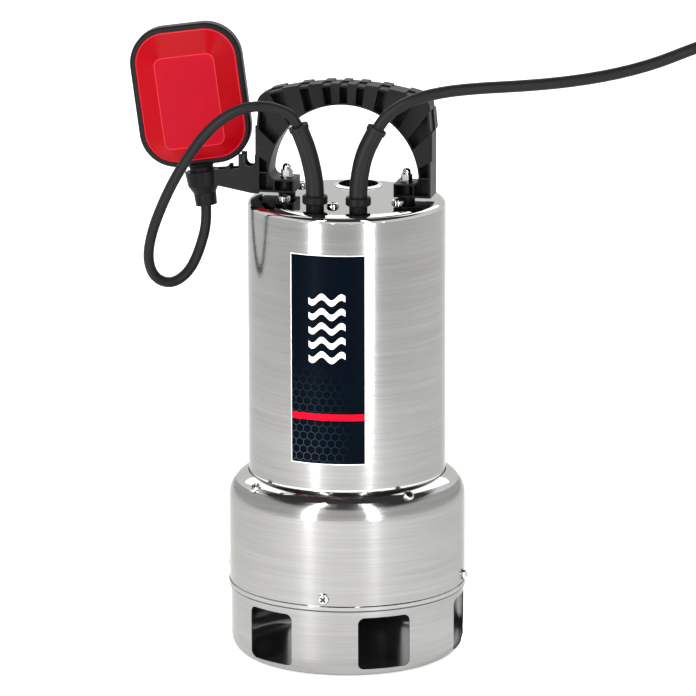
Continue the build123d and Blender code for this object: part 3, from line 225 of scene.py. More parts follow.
def finish(name, look):
    """Material whose look is a function of a point's place in the pump's frame, in metres."""
    material = bpy.data.materials.new(name)
    material.use_nodes = True
    tree = material.node_tree
    surface = tree.nodes["Principled BSDF"]
    place = add_node(tree, "ShaderNodeTexCoord", {}, "Object")
    for socket, value in look(place).items():
        if isinstance(value, Wire):
            tree.links.new(value.socket, surface.inputs[socket])
        else:
            surface.inputs[socket].default_value = value
    return material


def relief(height, strength, distance):
    """Surface normal of a fine height field."""
    inputs = {"Height": height, "Strength": strength, "Distance": distance}
    return height.node("ShaderNodeBump", inputs)


# %% [markdown]
# ## Steel
#
# The shells are stainless steel sheet, brushed round the pump, and polished where they are bent:
# on the rolled rim, the shoulder and the flat top. A picture of brushed steel would repeat and
# need an unwrapped surface. A noise that is stretched along the wall and very fine up it gives
# the brush lines anywhere. It changes the colour a little, the roughness, and a fine relief.
# The polished bends are height bands in which the lines and the roughness drop. The rolled rim's
# steel is painted darker and a near-black line is painted at its foot, both as painted shade. The
# inside of the cup is painted near black and not metallic, as painted shade, up to the middle of
# its sheet, and follows the lower bend round.

# %% Brushed steel
DULL_STEEL, STEEL = colour(0.235, 0.233, 0.228), colour(0.305, 0.302, 0.296)
# Painted shade: the rolled rim's steel is darker than the polished bends.
BEND_STEEL, BEAD_SHADED_STEEL = colour(0.50, 0.495, 0.485), colour(0.30, 0.297, 0.291)
# Painted shade: a near-black line at the rim's foot, and the cup's near-black inside.
PAINTED_SHADE_STEEL, CUP_PAINTED_SHADE = colour(0.06, 0.06, 0.06), colour(0.02, 0.02, 0.021)
GRAZING_TINT = colour(0.70, 0.70, 0.69)
BEAD = (0.0528, 0.0580)             # height band of the rolled rim
POLISHED_BENDS = ((0.1360, 0.1440), (0.3482, 0.3545))   # of the shoulder and the top's edge
BEAD_SHADE_LINE = (0.0530, 0.0542)        # of the painted shade line at the rim's foot
BRUSH_FINE, BRUSH_BROAD = (10, 10, 700), (7, 7, 90)     # stretch of the noise along X, Y, Z
CUP_CORNER = (0.0749, 0.014)        # centre of the cup's lower bend: radius and height
CUP_WALL_MID = 0.0135               # the middle of the bent sheet, from that centre
CUP_INSIDE_TOP = 0.056


def inside_cup(x, y, z):
    """1 inside the middle of the cup's sheet and 0 outside it."""
    out = ((x * x + y * y).root() - CUP_CORNER[0]).most(0)
    down = (CUP_CORNER[1] - z).most(0)
    return (out * out + down * down).less(CUP_WALL_MID ** 2) * z.less(CUP_INSIDE_TOP)


def brushed(place):
    x, y, z = place.parts()
    fine = place.scale(BRUSH_FINE).noise(1.0, 3.0, 0.7)
    broad = place.scale(BRUSH_BROAD).noise(1.0, 3.0, 0.6)
    bends = sum((z.between(*band) for band in POLISHED_BENDS), z.between(*BEAD))
    plain = 1 - bends
    inside = inside_cup(x, y, z)
    steel = (broad * 0.4 + fine * 0.6).fade(0.3, 0.7).blend(DULL_STEEL, STEEL)
    steel = bends.blend(steel, BEND_STEEL)
    # Painted shade: the rolled rim's steel is darker, standing in for its darker reflection.
    steel = z.between(*BEAD).blend(steel, BEAD_SHADED_STEEL)
    # Painted shade: a near-black line at the foot of the rolled rim.
    steel = z.between(*BEAD_SHADE_LINE).blend(steel, PAINTED_SHADE_STEEL)
    return {
        # Painted shade: the inside of the cup is near black and not metallic.
        "Base Color": inside.blend(steel, CUP_PAINTED_SHADE),
        "Metallic": 1 - inside,
        "Roughness": 0.04 + plain * (0.09 + fine * 0.09),
        "Specular Tint": GRAZING_TINT,
        "Normal": relief(fine * plain, 0.25, 0.0003),
    }


print("polished bands:", [BEAD, *POLISHED_BENDS])

# %% [markdown]
# ## Other metals
#
# Nuts, studs and the discharge socket are polished or plated, and the inner pieces are copper,
# core steel, aluminium and brass. All are one recipe with other numbers, so a function returns
# the look: two close colours clouded into each other, full metal, and an uneven shine.

# %% Plain metals
def metal(low, high, roughness, grain, wear=0.12):
    def look(place):
        cloud = place.noise(grain, 3.0)
        return {"Base Color": cloud.blend(colour(*low), colour(*high)), "Metallic": 1.0,
                "Roughness": roughness + cloud * wear}
    return look


METALS = {
    "stainless_brushed": brushed,
    "stainless_polished": metal((0.42, 0.415, 0.41), (0.52, 0.515, 0.51), 0.08, 90, wear=0.08),
    "steel_zinc": metal((0.34, 0.34, 0.335), (0.44, 0.44, 0.43), 0.12, 160),
    "copper": metal((0.60, 0.24, 0.12), (0.72, 0.32, 0.17), 0.25, 400),
    "core_steel": metal((0.22, 0.22, 0.23), (0.32, 0.32, 0.33), 0.4, 300),
    "aluminium": metal((0.58, 0.58, 0.60), (0.70, 0.70, 0.72), 0.4, 220),
    "nickel_brass": metal((0.62, 0.58, 0.46), (0.74, 0.70, 0.58), 0.2, 260),
}
print("metals:", len(METALS))

# %% [markdown]
# ## Plastics and rubber
#
# The handle, holder and glands are black nylon, the cords are rubber. Neither is quite black or
# quite even: a cloud mixes two near colours, and a fine speck in the normal stands for the
# grain of the mould. The shine is low, because a bright room greys a black part quickly.

# %% Moulded and rubber finishes
def moulded(low, high, roughness, grain=2600.0, shine=0.5):
    """Plastic or rubber with a fine grain and a slightly uneven colour."""
    def look(place):
        speck = place.noise(grain, 2.0)
        cloud = place.noise(38.0, 2.0)
        return {"Base Color": cloud.blend(colour(*low), colour(*high)),
                "Roughness": roughness + cloud * 0.08,
                "Specular IOR Level": shine,
                "Normal": relief(speck, 0.25, 0.00004)}
    return look


MOULDINGS = {
    "black_nylon": moulded((0.0030, 0.0030, 0.0032), (0.0050, 0.0050, 0.0052), 0.40, shine=0.08),
    "black_rubber": moulded((0.0035, 0.0035, 0.0037), (0.0065, 0.0065, 0.0068), 0.42, 1800.0,
                            shine=0.12),
    "black_plastic": moulded((0.004, 0.004, 0.004), (0.007, 0.007, 0.007), 0.38, shine=0.14),
    "ceramic": moulded((0.72, 0.70, 0.66), (0.80, 0.78, 0.74), 0.25, 900.0),
    "capacitor_can": moulded((0.74, 0.74, 0.70), (0.82, 0.82, 0.78), 0.35),
}
print("mouldings:", len(MOULDINGS))

# %% [markdown]
# ## Float covers
#
# The float is two red half-shells in a black frame. Each cover slopes up from its rim to a flat
# face. The slopes are painted a little darker than the face, as painted shade, and the edge of the
# face and the edge of the rim get a thin pale line of painted highlight. The float leans in its
# holder, so the look is worked out in the float's own directions, across and along it: two dot
# products turn the point's place. A rounded rectangle's distance then tells face, slope and edges
# apart, with no unwrapping.

# %% Float covers
FLOAT_ORIGIN = Vector((-0.1119, 0.0, 0.3694))
FLOAT_TURN = Matrix.Rotation(radians(-7.6), 3, "Y") @ Matrix.Rotation(radians(6), 3, "Z")
FLOAT_MID = 58.9                    # millimetres up the float
COVER_SIZE, COVER_R = (77.6, 100.0), 24.1
FACE_SIZE, FACE_R, FACE_DROP = (46.0, 70.0), 6.0, 3.0
FACE_HIGHLIGHT, RIM_HIGHLIGHT = (-0.5, 0.15), (-1.3, -0.5)    # painted highlight lines, measured from the edges
SHADED_SLOPE_RED = colour(0.21, 0.0002, 0.0025), colour(0.24, 0.0003, 0.0035)
LIT_FACE_RED = colour(0.215, 0.0004, 0.0060), colour(0.240, 0.0006, 0.0075)
HIGHLIGHT_RED, HIGHLIGHT_SHARE = colour(0.55, 0.03, 0.045), 0.55


def beyond(across, along, size, radius):
    """Distance outside a rounded rectangle, right near its edge."""
    dx = (across.size() - (size[0] / 2 - radius)).most(0)
    dy = (along.size() - (size[1] / 2 - radius)).most(0)
    return (dx * dx + dy * dy).root() - radius


def red_cover(place):
    apart = place.node("ShaderNodeVectorMath", {0: place, 1: FLOAT_ORIGIN},
                       operation="SUBTRACT")
    across, along = [apart.node("ShaderNodeVectorMath", {0: apart, 1: FLOAT_TURN.col[k]}, "Value",
                                operation="DOT_PRODUCT") / MM for k in (0, 2)]
    along = along - FLOAT_MID
    face = beyond(across, along + FACE_DROP, FACE_SIZE, FACE_R)
    rim = beyond(across, along, COVER_SIZE, COVER_R)
    cloud = place.noise(38.0, 2.0)
    # Painted shade: the slopes get a slightly darker red than the flat face.
    red = face.less(0).blend(cloud.blend(*SHADED_SLOPE_RED), cloud.blend(*LIT_FACE_RED))
    # Painted highlight: thin pale lines along the edge of the face and the edge of the rim.
    lines = face.between(*FACE_HIGHLIGHT).most(rim.between(*RIM_HIGHLIGHT))
    return {"Base Color": (lines * HIGHLIGHT_SHARE).blend(red, HIGHLIGHT_RED),
            "Roughness": 0.32 + cloud * 0.08,
            "Specular IOR Level": 0.06,
            "Normal": relief(place.noise(1500.0, 2.0), 0.25, 0.00003)}


print("flat face of a cover:", FACE_SIZE, "mm")

# %% [markdown]
# ## One finish for each slot
#
# The record names a material slot for every solid. One table turns the looks into materials,
# and each solid gets the material of its slot, so no solid can be forgotten.

# %% Every slot's finish
LOOKS = {**METALS, **MOULDINGS, "red_plastic": red_cover}
FINISHES = {name: finish(name, look) for name, look in LOOKS.items()}
slots = {part["node"]: part["material_slot"] for part in frame["record"]["subparts"]}
for name, node in nodes.items():
    node.data.materials.clear()
    node.data.materials.append(FINISHES[slots[name]])
print("finishes:", len(FINISHES), "on", len(nodes), "solids")

# %% [markdown]
# ## Modelling by hand, in code
#
# New pieces start as a primitive and are shaped with the operators that the menus and keys call.
# An operator works on what is selected, so the helpers select first: `pick` takes one object,
# and `choose` goes into edit mode with the faces or edges that pass a test, by their place or
# their normal. `start` adds a primitive at its size and place and applies both to its mesh, so
# that a finished piece's object stays at the origin, unturned and unscaled.

# %% Modelling helpers
def pick_none():
    """Leaves edit mode and deselects every object."""
    if bpy.context.mode != "OBJECT":
        bpy.ops.object.mode_set(mode="OBJECT")
    bpy.ops.object.select_all(action="DESELECT")


def pick(piece):
    """Selects one object alone and makes it the active one."""
    pick_none()
    piece.select_set(True)
    bpy.context.view_layer.objects.active = piece


def start(add_primitive, **sizes):
    """Adds a primitive and puts its place and size into its mesh."""
    pick_none()
    add_primitive(**sizes)
    bpy.ops.object.transform_apply()
    return bpy.context.object


def choose(piece, kind, test):
    """Edit mode, with only the faces or edges that pass the test selected."""
    pick(piece)
    bpy.ops.object.mode_set(mode="EDIT")
    bpy.ops.mesh.select_mode(type=kind)
    bpy.ops.mesh.select_all(action="DESELECT")
    bpy.ops.object.mode_set(mode="OBJECT")
    for element in piece.data.polygons if kind == "FACE" else piece.data.edges:
        element.select = test(element)
    bpy.ops.object.mode_set(mode="EDIT")


def use_modifier(piece, kind, **settings):
    """Gives a piece a modifier with these settings and applies it."""
    pick(piece)
    modifier = piece.modifiers.new(kind, kind)
    for key, value in settings.items():
        setattr(modifier, key, value)
    bpy.ops.object.modifier_apply(modifier=modifier.name)


def smooth(piece, angle=35):
    """Shades a mesh smoothly, apart from edges sharper than an angle."""
    pick(piece)
    bpy.ops.object.shade_smooth_by_angle(angle=radians(angle))


# %% [markdown]
# A piece that goes through place_piece gets a name, the finish of its slot of the record and a
# body to ride on. The coil and its plug lie beside the pump only because ten metres of cord have
# to lie somewhere. Their mirror image and shadow would darken the casing, so these pieces are
# left out of reflections and bounces.

# %% Placing helpers
def place_piece(piece, name, slot):
    """Names a finished piece, gives it its slot's finish and lets it ride on the pump."""
    piece.name = piece.data.name = name
    if not piece.data.materials:
        piece.data.materials.append(FINISHES[slot])
    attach(piece, "pump_body")


def unmirror(piece):
    """Keeps a piece that lies beside the view out of the steel's reflections and bounces."""
    piece.visible_glossy = False
    piece.visible_diffuse = False
    piece.visible_shadow = False


# %% [markdown]
# ## Power cord
#
# The mains cord is ten metres of rubber cord, one curve from its gland to its plug. A swept
# circle could follow any curve. A NURBS curve with a round bevel is chosen, because it stays
# smooth through few points and is easy to change. Its control points are the CAD route's own.
# The length that lies beside the pump is put away in a coil, which a loop works out: flat
# spirals of turns, inwards and outwards again, one layer upon the other.

# %% Power cord
POWER_X, GLAND_Y = 18.3, -46.0
GLAND_TOP, NUT_TOP = 357.0, 363.4
POWER_D = 9.0
POWER_START = [(POWER_X, GLAND_Y, GLAND_TOP - 4), (POWER_X, GLAND_Y, NUT_TOP + 10),
               (POWER_X + 4.2, GLAND_Y, NUT_TOP + 32.4),
               (POWER_X + 17.6, GLAND_Y + 0.7, NUT_TOP + 58.4)]
POWER_ROUTE = [(46.5, -44.5, 431.2), (61.5, -41.5, 439.0), (82.5, -35.0, 443.6),
               (108.0, -27.0, 445.6), (138.0, -19.5, 446.8), (170.0, -12.5, 449.6),
               (203.0, -6.0, 455.0), (234.0, 0.5, 463.3), (263.0, 9.0, 475.0),
               (292.0, 14.0, 485.0), (322.0, 16.0, 488.0), (352.0, 15.0, 482.0),
               (380.0, 10.0, 465.0), (404.0, 2.0, 437.0), (422.0, -9.0, 400.0),
               (435.0, -21.0, 355.0), (443.0, -33.0, 305.0), (448.0, -44.0, 255.0),
               (451.0, -54.0, 205.0), (453.0, -62.0, 158.0), (455.0, -67.0, 118.0),
               (458.0, -65.0, 84.0), (463.0, -52.0, 61.0), (469.0, -34.0, 48.0)]
TAIL_ROUTE = [(395.0, 59.7, 4.9), (381.2, 57.6, 6.5), (369.9, 49.6, 9.0),
              (363.1, 37.5, 11.0), (363.2, 23.8, 11.5), (364.9, 14.0, 11.5)]
COIL_CENTRE = (376.0, 0.0)
COIL_INNER_R, COIL_OUTER_R = 63.5, 96.5
COIL_LAYERS = 5
COIL_LAYER_H = 9.05
COIL_FLOOR = POWER_D / 2 + 1.2      # lowest layer's middle, with room for the tie under it
COIL_START, COIL_END = -8.0, 60.0   # degrees where the cord lands and where it leaves
COIL_WHOLE_TURNS = 18
POINTS_PER_TURN = 16
DROP_PACE = 7                       # a layer is this much longer than the step down from it


def coil_points():
    """Spirals of turns, in and out again, from the top layer down to the floor."""
    turns = COIL_WHOLE_TURNS + (COIL_END - COIL_START) / 360
    count = round(turns * POINTS_PER_TURN)
    points = []
    for i in range(count + 1):
        layer = COIL_LAYERS * i / count
        whole = min(int(layer), COIL_LAYERS - 1)
        inward = layer - whole if whole % 2 == 0 else 1 - layer + whole
        drops = sum(min(1.0, max(0.0, (layer - k) * DROP_PACE + 0.5))
                    for k in range(1, COIL_LAYERS))
        radius = COIL_OUTER_R + (COIL_INNER_R - COIL_OUTER_R) * inward
        angle = radians(COIL_START) + 2 * pi * turns * i / count
        points.append((COIL_CENTRE[0] + radius * cos(angle),
                       COIL_CENTRE[1] + radius * sin(angle),
                       COIL_FLOOR + COIL_LAYER_H * (COIL_LAYERS - 1 - drops)))
    return points


def cord_curve(name, points, diameter):
    """Round cord along control points given in millimetres."""
    curve = bpy.data.curves.new(name, "CURVE")
    curve.dimensions = "3D"
    curve.bevel_depth = diameter / 2 * MM
    curve.bevel_resolution = 5
    curve.resolution_u = 3
    curve.use_fill_caps = True
    spline = curve.splines.new("NURBS")
    spline.points.add(len(points) - 1)
    for point, place in zip(spline.points, points):
        point.co = (*(v * MM for v in place), 1)
    spline.order_u = 3
    spline.use_endpoint_u = True
    return bpy.data.objects.new(name, curve)


power_cord = cord_curve("power_cord_line", POWER_START + POWER_ROUTE + coil_points() + TAIL_ROUTE,
                        POWER_D)
scene.collection.objects.link(power_cord)
unmirror(power_cord)
place_piece(power_cord, "power_cord_line", "black_rubber")
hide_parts("power_cord", "power_cord_coil", "power_cord_tail")
print("power cord control points:", len(power_cord.data.splines[0].points))

# %% [markdown]
# ## Float cord
#
# The float's cord leaves the other gland, hangs in a loop and runs up through the holder into
# the float's neck. The float lifts out of its holder, so the cord has to give. This cord is a
# round tube of rings along a smooth line, built ring by ring, with each ring turned as little as
# possible from the last, so that the tube doesn't twist.

# %% Float cord
FLOAT_X, FLOAT_D = -14.7, 8.0
FLOAT_START = [(FLOAT_X, GLAND_Y, GLAND_TOP - 4), (FLOAT_X, GLAND_Y, NUT_TOP + 10),
               (FLOAT_X - 4.2, GLAND_Y - 2, NUT_TOP + 32.4),
               (FLOAT_X - 14, GLAND_Y - 6, NUT_TOP + 59.8)]
FLOAT_ROUTE = [(-38.5, -55.5, 429.2), (-51.0, -59.5, 432.6), (-66.0, -62.5, 431.0),
               (-81.0, -64.5, 423.0), (-95.0, -64.0, 410.0), (-107.5, -62.0, 393.0),
               (-120.0, -59.0, 373.0), (-131.0, -55.0, 351.0), (-140.0, -49.5, 329.0),
               (-145.0, -41.5, 308.0), (-142.0, -32.5, 291.5), (-131.0, -24.0, 285.3),
               (-119.5, -15.0, 292.5), (-112.5, -7.0, 308.5)]
FLOAT_NECK = [(-107.14, 0.0, 333.72), (-110.05, 0.0, 355.52)]


def quadratic_line(points, steps=6):
    """Smooth line that touches the middle of each stretch between control points."""
    places = [Vector(p) for p in points]
    line = [places[0]]
    for before, here, after in zip(places, places[1:], places[2:]):
        start = before if before is places[0] else (before + here) / 2
        end = after if after is places[-1] else (here + after) / 2
        for i in range(1, steps + 1):
            t = i / steps
            line.append((1 - t) ** 2 * start + 2 * t * (1 - t) * here + t * t * end)
    return line


def tube_mesh(name, line, radius, sides=20):
    """Closed round tube along a line, with rings that do not twist."""
    bm = bmesh.new()
    rings = []
    side = Vector((1, 0, 0))
    for i, point in enumerate(line):
        ahead = (line[min(i + 1, len(line) - 1)] - line[max(i - 1, 0)]).normalized()
        side = (side - ahead * side.dot(ahead)).normalized()
        other = ahead.cross(side)
        turns = [2 * pi * k / sides for k in range(sides)]
        rings.append([bm.verts.new(point + radius * (cos(a) * side + sin(a) * other))
                      for a in turns])
    for first, second in zip(rings, rings[1:]):
        for k in range(sides):
            bm.faces.new((first[k], first[k - 1], second[k - 1], second[k]))
    bm.faces.new(rings[0])
    bm.faces.new(rings[-1])
    bmesh.ops.recalc_face_normals(bm, faces=bm.faces)
    mesh = bpy.data.meshes.new(name)
    bm.to_mesh(mesh)
    bm.free()
    return bpy.data.objects.new(name, mesh)


float_line = [p * MM for p in quadratic_line(FLOAT_START + FLOAT_ROUTE + FLOAT_NECK)]
float_cord = tube_mesh("float_cord_line", float_line, FLOAT_D / 2 * MM)
scene.collection.objects.link(float_cord)
float_cord.data.materials.append(FINISHES["black_rubber"])
smooth(float_cord, 60)
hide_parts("float_cord")
float_length = sum((b - a).length for a, b in zip(float_line, float_line[1:]))
print("float cord:", round(float_length / MM), "mm")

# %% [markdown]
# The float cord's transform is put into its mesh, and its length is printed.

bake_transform(float_cord)
print("declared: power cord 10 m, float cord", round(float_length, 3), "m")

# %% [markdown]
# ## Coil tie
#
# A flat strap holds the coil's turns together on the side that faces the pump. It starts as a
# block as wide as the strap, its four long edges are bevelled as round as the cord, its two
# ends are deleted, and Solidify gives the open sleeve its wall. It stays off the floor.

# %% Coil tie
TIE_ANGLE = 152.0                   # degrees round the coil
TIE_W, TIE_T = 15.0, 0.9
TIE_REACH = POWER_D / 2 + 0.1       # from the turns' middle line to the strap
ROUNDING_STEPS = 8

coil_w = COIL_OUTER_R - COIL_INNER_R
coil_h = COIL_LAYER_H * (COIL_LAYERS - 1)
coil_tie = start(bpy.ops.mesh.primitive_cube_add, size=MM,
                 location=Vector((COIL_INNER_R + coil_w / 2, 0, COIL_FLOOR + coil_h / 2)) * MM,
                 scale=(coil_w + 2 * TIE_REACH, TIE_W, coil_h + 2 * TIE_REACH))
rows = [vertex.co.y for vertex in coil_tie.data.vertices]
choose(coil_tie, "EDGE", lambda edge: rows[edge.vertices[0]] * rows[edge.vertices[1]] < 0)
bpy.ops.mesh.bevel(offset=TIE_REACH * MM, segments=ROUNDING_STEPS, affect="EDGES")
choose(coil_tie, "FACE", lambda face: abs(face.normal.y) > 0.9)
bpy.ops.mesh.delete(type="FACE")
use_modifier(coil_tie, "SOLIDIFY", thickness=TIE_T * MM, offset=1, use_even_offset=True)
coil_tie.rotation_euler.z = radians(TIE_ANGLE)
coil_tie.location = Vector((*COIL_CENTRE, 0)) * MM
bpy.ops.object.transform_apply()
place_piece(coil_tie, "coil_tie", "black_rubber")
smooth(coil_tie)
for piece in (coil_tie, nodes["plug_body"], nodes["plug_pins"]):
    unmirror(piece)
print("coil tie:", len(coil_tie.data.polygons), "faces")

# %% [markdown]
# ## Cross-recessed screws
#
# Each screw is a turned shank with a pan head, and a driver's cross is sunk in the head. The
# shank is a cylinder. Its top face is extruded out and up in steps, each a little narrower, as
# the head is. Filling a flat top round a cross by hand is fiddly, so two tapered bars are cut
# out of it with Boolean modifiers, and they leave their near-black material in the recess as
# painted shade. One screw is modelled for each row, and copies of its mesh are seated by matrices.

# %% One screw
HEAD_STEPS = ((1.0, 0.0), (1.0, 0.34), (0.95, 0.62), (0.84, 0.84), (0.66, 1.0))
CROSS_MOUTH, CROSS_FOOT = (0.58, 0.15), (0.42, 0.11)    # half length and width, in head radii
CROSS_DEPTH = 0.55                  # in head heights
SCREW_SIDES = 40
# Painted shade: the cross recess gets a near-black metal, darker than the head.
RECESS_SHADE = finish("screw_recess_painted_shade", metal((0.02, 0.02, 0.02), (0.05, 0.05, 0.05), 0.4, 600))


def cross_bar(turn, head_r, head_h):
    """One bar of the cross: as far above the head's top as below it, and tapered."""
    top = [2 * mouth - foot for mouth, foot in zip(CROSS_MOUTH, CROSS_FOOT)]
    bar = start(bpy.ops.mesh.primitive_cube_add, size=2, location=(0, 0, head_h),
                rotation=(0, 0, radians(turn)),
                scale=(top[0] * head_r, top[1] * head_r, CROSS_DEPTH * head_h))
    choose(bar, "FACE", lambda face: face.normal.z < -0.9)
    narrow = [foot / wide for foot, wide in zip(CROSS_FOOT, top)]
    if turn:
        narrow.reverse()
    bpy.ops.transform.resize(value=(*narrow, 1), center_override=(0, 0, 0))
    pick(bar)
    bar.data.materials.append(RECESS_SHADE)
    return bar


def cross_screw(head_r, head_h, shank_r, length, slot):
    """Pan-head screw in metres, standing with its head's seat at the origin."""
    screw = start(bpy.ops.mesh.primitive_cylinder_add, vertices=SCREW_SIDES, radius=shank_r,
                  depth=length, location=(0, 0, -length / 2))
    choose(screw, "FACE", lambda face: face.normal.z > 0.9)
    radius, height = shank_r, 0
    for wide, high in HEAD_STEPS:
        rise = high * head_h - height
        bpy.ops.mesh.extrude_region_move(TRANSFORM_OT_translate={"value": (0, 0, rise)})
        widen = wide * head_r / radius
        bpy.ops.transform.resize(value=(widen, widen, 1), center_override=(0, 0, 0))
        radius, height = wide * head_r, high * head_h
    pick(screw)
    screw.data.materials.append(FINISHES[slot])
    screw.data.materials.append(RECESS_SHADE)
    for turn in (0, 90):
        bar = cross_bar(turn, head_r, head_h)
        use_modifier(screw, "BOOLEAN", operation="DIFFERENCE", solver="EXACT", object=bar,
                     material_mode="TRANSFER")
        pick(bar)
        bpy.ops.object.delete()
    return screw


print("a screw's head rises in", len(HEAD_STEPS), "steps")

# %% [markdown]
# The screws sit in the top, on the shoulder, in the casing's rim and in the holder. A matrix
# is read from right to left: lean the screw, move it out to the wall, then turn it round the
# pump. Each copy is also spun on its own axis, since no two screws stop at the same turn.

# %% Rows of screws
FIRST_SPIN, NEXT_SPIN = 25, 37      # degrees


def at(x, y, z):
    return Matrix.Translation(Vector((x, y, z)) * MM)


def around(angle):
    return Matrix.Rotation(radians(angle), 4, "Z")


def lean(angle):
    return Matrix.Rotation(radians(angle), 4, "Y")


def screws(name, places, *sizes):
    """One piece with a screw at each place, instead of the CAD node of this name."""
    model = cross_screw(*(size * MM for size in sizes), slots[name])
    copies = []
    for k, place in enumerate(places):
        copy = model.copy()
        copy.data = model.data.copy()
        copy.data.transform(place @ around(FIRST_SPIN + NEXT_SPIN * k))
        scene.collection.objects.link(copy)
        copies.append(copy)
    pick(model)
    bpy.ops.object.delete()
    pick(copies[0])
    for copy in copies:
        copy.select_set(True)
    bpy.ops.object.join()
    piece = copies[0]
    place_piece(piece, name + "_cross", slots[name])
    smooth(piece, 32)
    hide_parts(name)
    print(name + ":", len(places))


# %% [markdown]
# The seats repeat the CAD part's sizes: the top's height, the casing's wall, the point on the
# round shoulder where the sheet leans by 41 degrees, and the holder's arm.

# %% Seats of the screws
JACKET_TOP, HANDLE_Z = 353.2, 356.8
CASING_R, RIM_SCREW_Z = 90.0, 63.0
SHOULDER_R, SHOULDER_Z, SHOULDER_LEAN = 20.0, 123.0, 41.0
HOLDER_X, HOLDER_RISES = -69.05, (5.2, 13.0)
TOP_SCREWS = ((-3.0, -37.0), (42.0, -15.0), (-45.0, -15.0), (-42.0, 34.0), (42.0, 34.0))
TOP_SIZE = (4.7, 3.0, 2.0, 14.0)    # head radius and height, shank radius and length
SHEET_SIZE = (4.3, 2.6, 2.0, 6.0)
HOLDER_SIZE = (3.6, 2.2, 1.5, 4.8)

steep = radians(90 - SHOULDER_LEAN)
shoulder_seat = (at(CASING_R - SHOULDER_R + SHOULDER_R * cos(steep), 0,
                    SHOULDER_Z + SHOULDER_R * sin(steep)) @ lean(SHOULDER_LEAN))
rim_seat = at(CASING_R, 0, RIM_SCREW_Z) @ lean(90)
screws("top_screws", [at(x, y, JACKET_TOP) for x, y in TOP_SCREWS], *TOP_SIZE)
screws("shoulder_screws", [around(a) @ shoulder_seat for a in (45, 135, 225, 315)], *SHEET_SIZE)
screws("rim_screws", [around(a) @ rim_seat for a in (0, 90, 180, 270)], *SHEET_SIZE)
screws("holder_screws", [at(HOLDER_X, 0, HANDLE_Z + rise) @ lean(-90) for rise in HOLDER_RISES],
       *HOLDER_SIZE)

# %% [markdown]
# ## Label panel
#
# A dark printed film is stuck on the front of the jacket. An image would need a file and would
# blur from nearby, so the print is arithmetic too, on a UV map in millimetres: across from the
# film's middle and up from its lower edge. The design is generic: a faint honeycomb, a few white
# waves, a red line and a pale border.

# %% Print of the label
LABEL_R, LABEL_T = 75.12, 0.12
LABEL_TURN = 44.5                   # degrees round the jacket
LABEL_Z = (163.5, 324.0)
LABEL_H = LABEL_Z[1] - LABEL_Z[0]
LABEL_W = LABEL_R * radians(LABEL_TURN)
CELL = 6.2                          # honeycomb
CELLS_FADE_UP, CELLS_FADE_ACROSS = (-78.0, -4.0), (-20.0, 30.0)
WAVE_STEP, WAVE_HALF_T, WAVE_HALF_W = 11.0, 2.3, 14.0
WAVE_SWING, WAVE_RATE = 2.4, 0.42
WAVE_ROWS, RED_LINE = (77.0, 132.0), (34.0, 39.0)
BORDER = 0.55
NAVY, WEAVE = colour(0.0008, 0.0022, 0.0044), colour(0.04, 0.06, 0.08)
RED_INK, WHITE_INK, PALE_INK = (colour(0.60, 0.003, 0.014), colour(0.86, 0.86, 0.86),
                                colour(0.80, 0.80, 0.79))


def honeycomb(across, along, cell):
    """0 in the middle of each hexagon and 0.5 at its sides."""
    x, y = across / cell, along / cell
    tall = 3 ** 0.5
    ax, ay = x.wrap(1.0), y.wrap(tall)
    bx, by = (x - 0.5).wrap(1.0), (y - tall / 2).wrap(tall)
    first = (ax * ax + ay * ay).less(bx * bx + by * by)
    near_x = (first * ax + (1 - first) * bx).size()
    near_y = (first * ay + (1 - first) * by).size()
    return near_x.most(near_x * 0.5 + near_y * (tall / 2))


def printed(place):
    uv = add_node(place.tree, "ShaderNodeTexCoord", {}, "UV")
    across, along = uv.parts()[:2]
    cells = honeycomb(across, along, CELL).fade(0.43, 0.5)
    weave = cells * (-along).fade(*CELLS_FADE_UP) * (-across).fade(*CELLS_FADE_ACROSS)
    swell = along + (across * WAVE_RATE).sine() * WAVE_SWING
    waves = swell.wrap(WAVE_STEP).size().less(WAVE_HALF_T) * swell.between(*WAVE_ROWS)
    waves = waves * across.size().less(WAVE_HALF_W)
    border = across.size().more(LABEL_W / 2 - BORDER)
    border = border.most((along - LABEL_H / 2).size().more(LABEL_H / 2 - BORDER))
    ink = along.between(*RED_LINE).blend(weave.blend(NAVY, WEAVE), RED_INK)
    ink = waves.blend(ink, WHITE_INK)
    return {"Base Color": border.blend(ink, PALE_INK),
            "Roughness": 0.28 + place.noise(70.0) * 0.08,
            "Specular IOR Level": 0.01}


print("label:", round(LABEL_W, 1), "x", round(LABEL_H, 1), "mm")

# %% [markdown]
# The film starts as an open cylinder a tenth of a millimetre above the steel. Two bisect cuts
# through the axis keep only its front, and Solidify gives it a thin wall. A flat sheet could be
# bent instead, but a cut cylinder fits the jacket exactly.

# %% Label film
COLUMNS_ROUND = 288                 # of the whole cylinder

label = start(bpy.ops.mesh.primitive_cylinder_add, vertices=COLUMNS_ROUND,
              radius=LABEL_R * MM, depth=LABEL_H * MM, location=(0, 0, sum(LABEL_Z) / 2 * MM),
              end_fill_type="NOTHING")
for side in (-1, 1):
    choose(label, "FACE", lambda face: True)
    turn = radians(-90 + side * LABEL_TURN / 2)
    bpy.ops.mesh.bisect(plane_co=(0, 0, 0), clear_outer=True,
                        plane_no=(-side * sin(turn), side * cos(turn), 0))
use_modifier(label, "SOLIDIFY", thickness=LABEL_T * MM, offset=1)
flat_map = label.data.uv_layers[0].data
for loop in label.data.loops:
    x, y, z = label.data.vertices[loop.vertex_index].co
    flat_map[loop.index].uv = (atan2(y, x) + pi / 2) * LABEL_R, z / MM - LABEL_Z[0]
label.name = label.data.name = "label_panel"
label.data.materials.append(finish("label_print", printed))
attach(label, "pump_body")
smooth(label)
print("label film:", len(label.data.polygons), "faces")

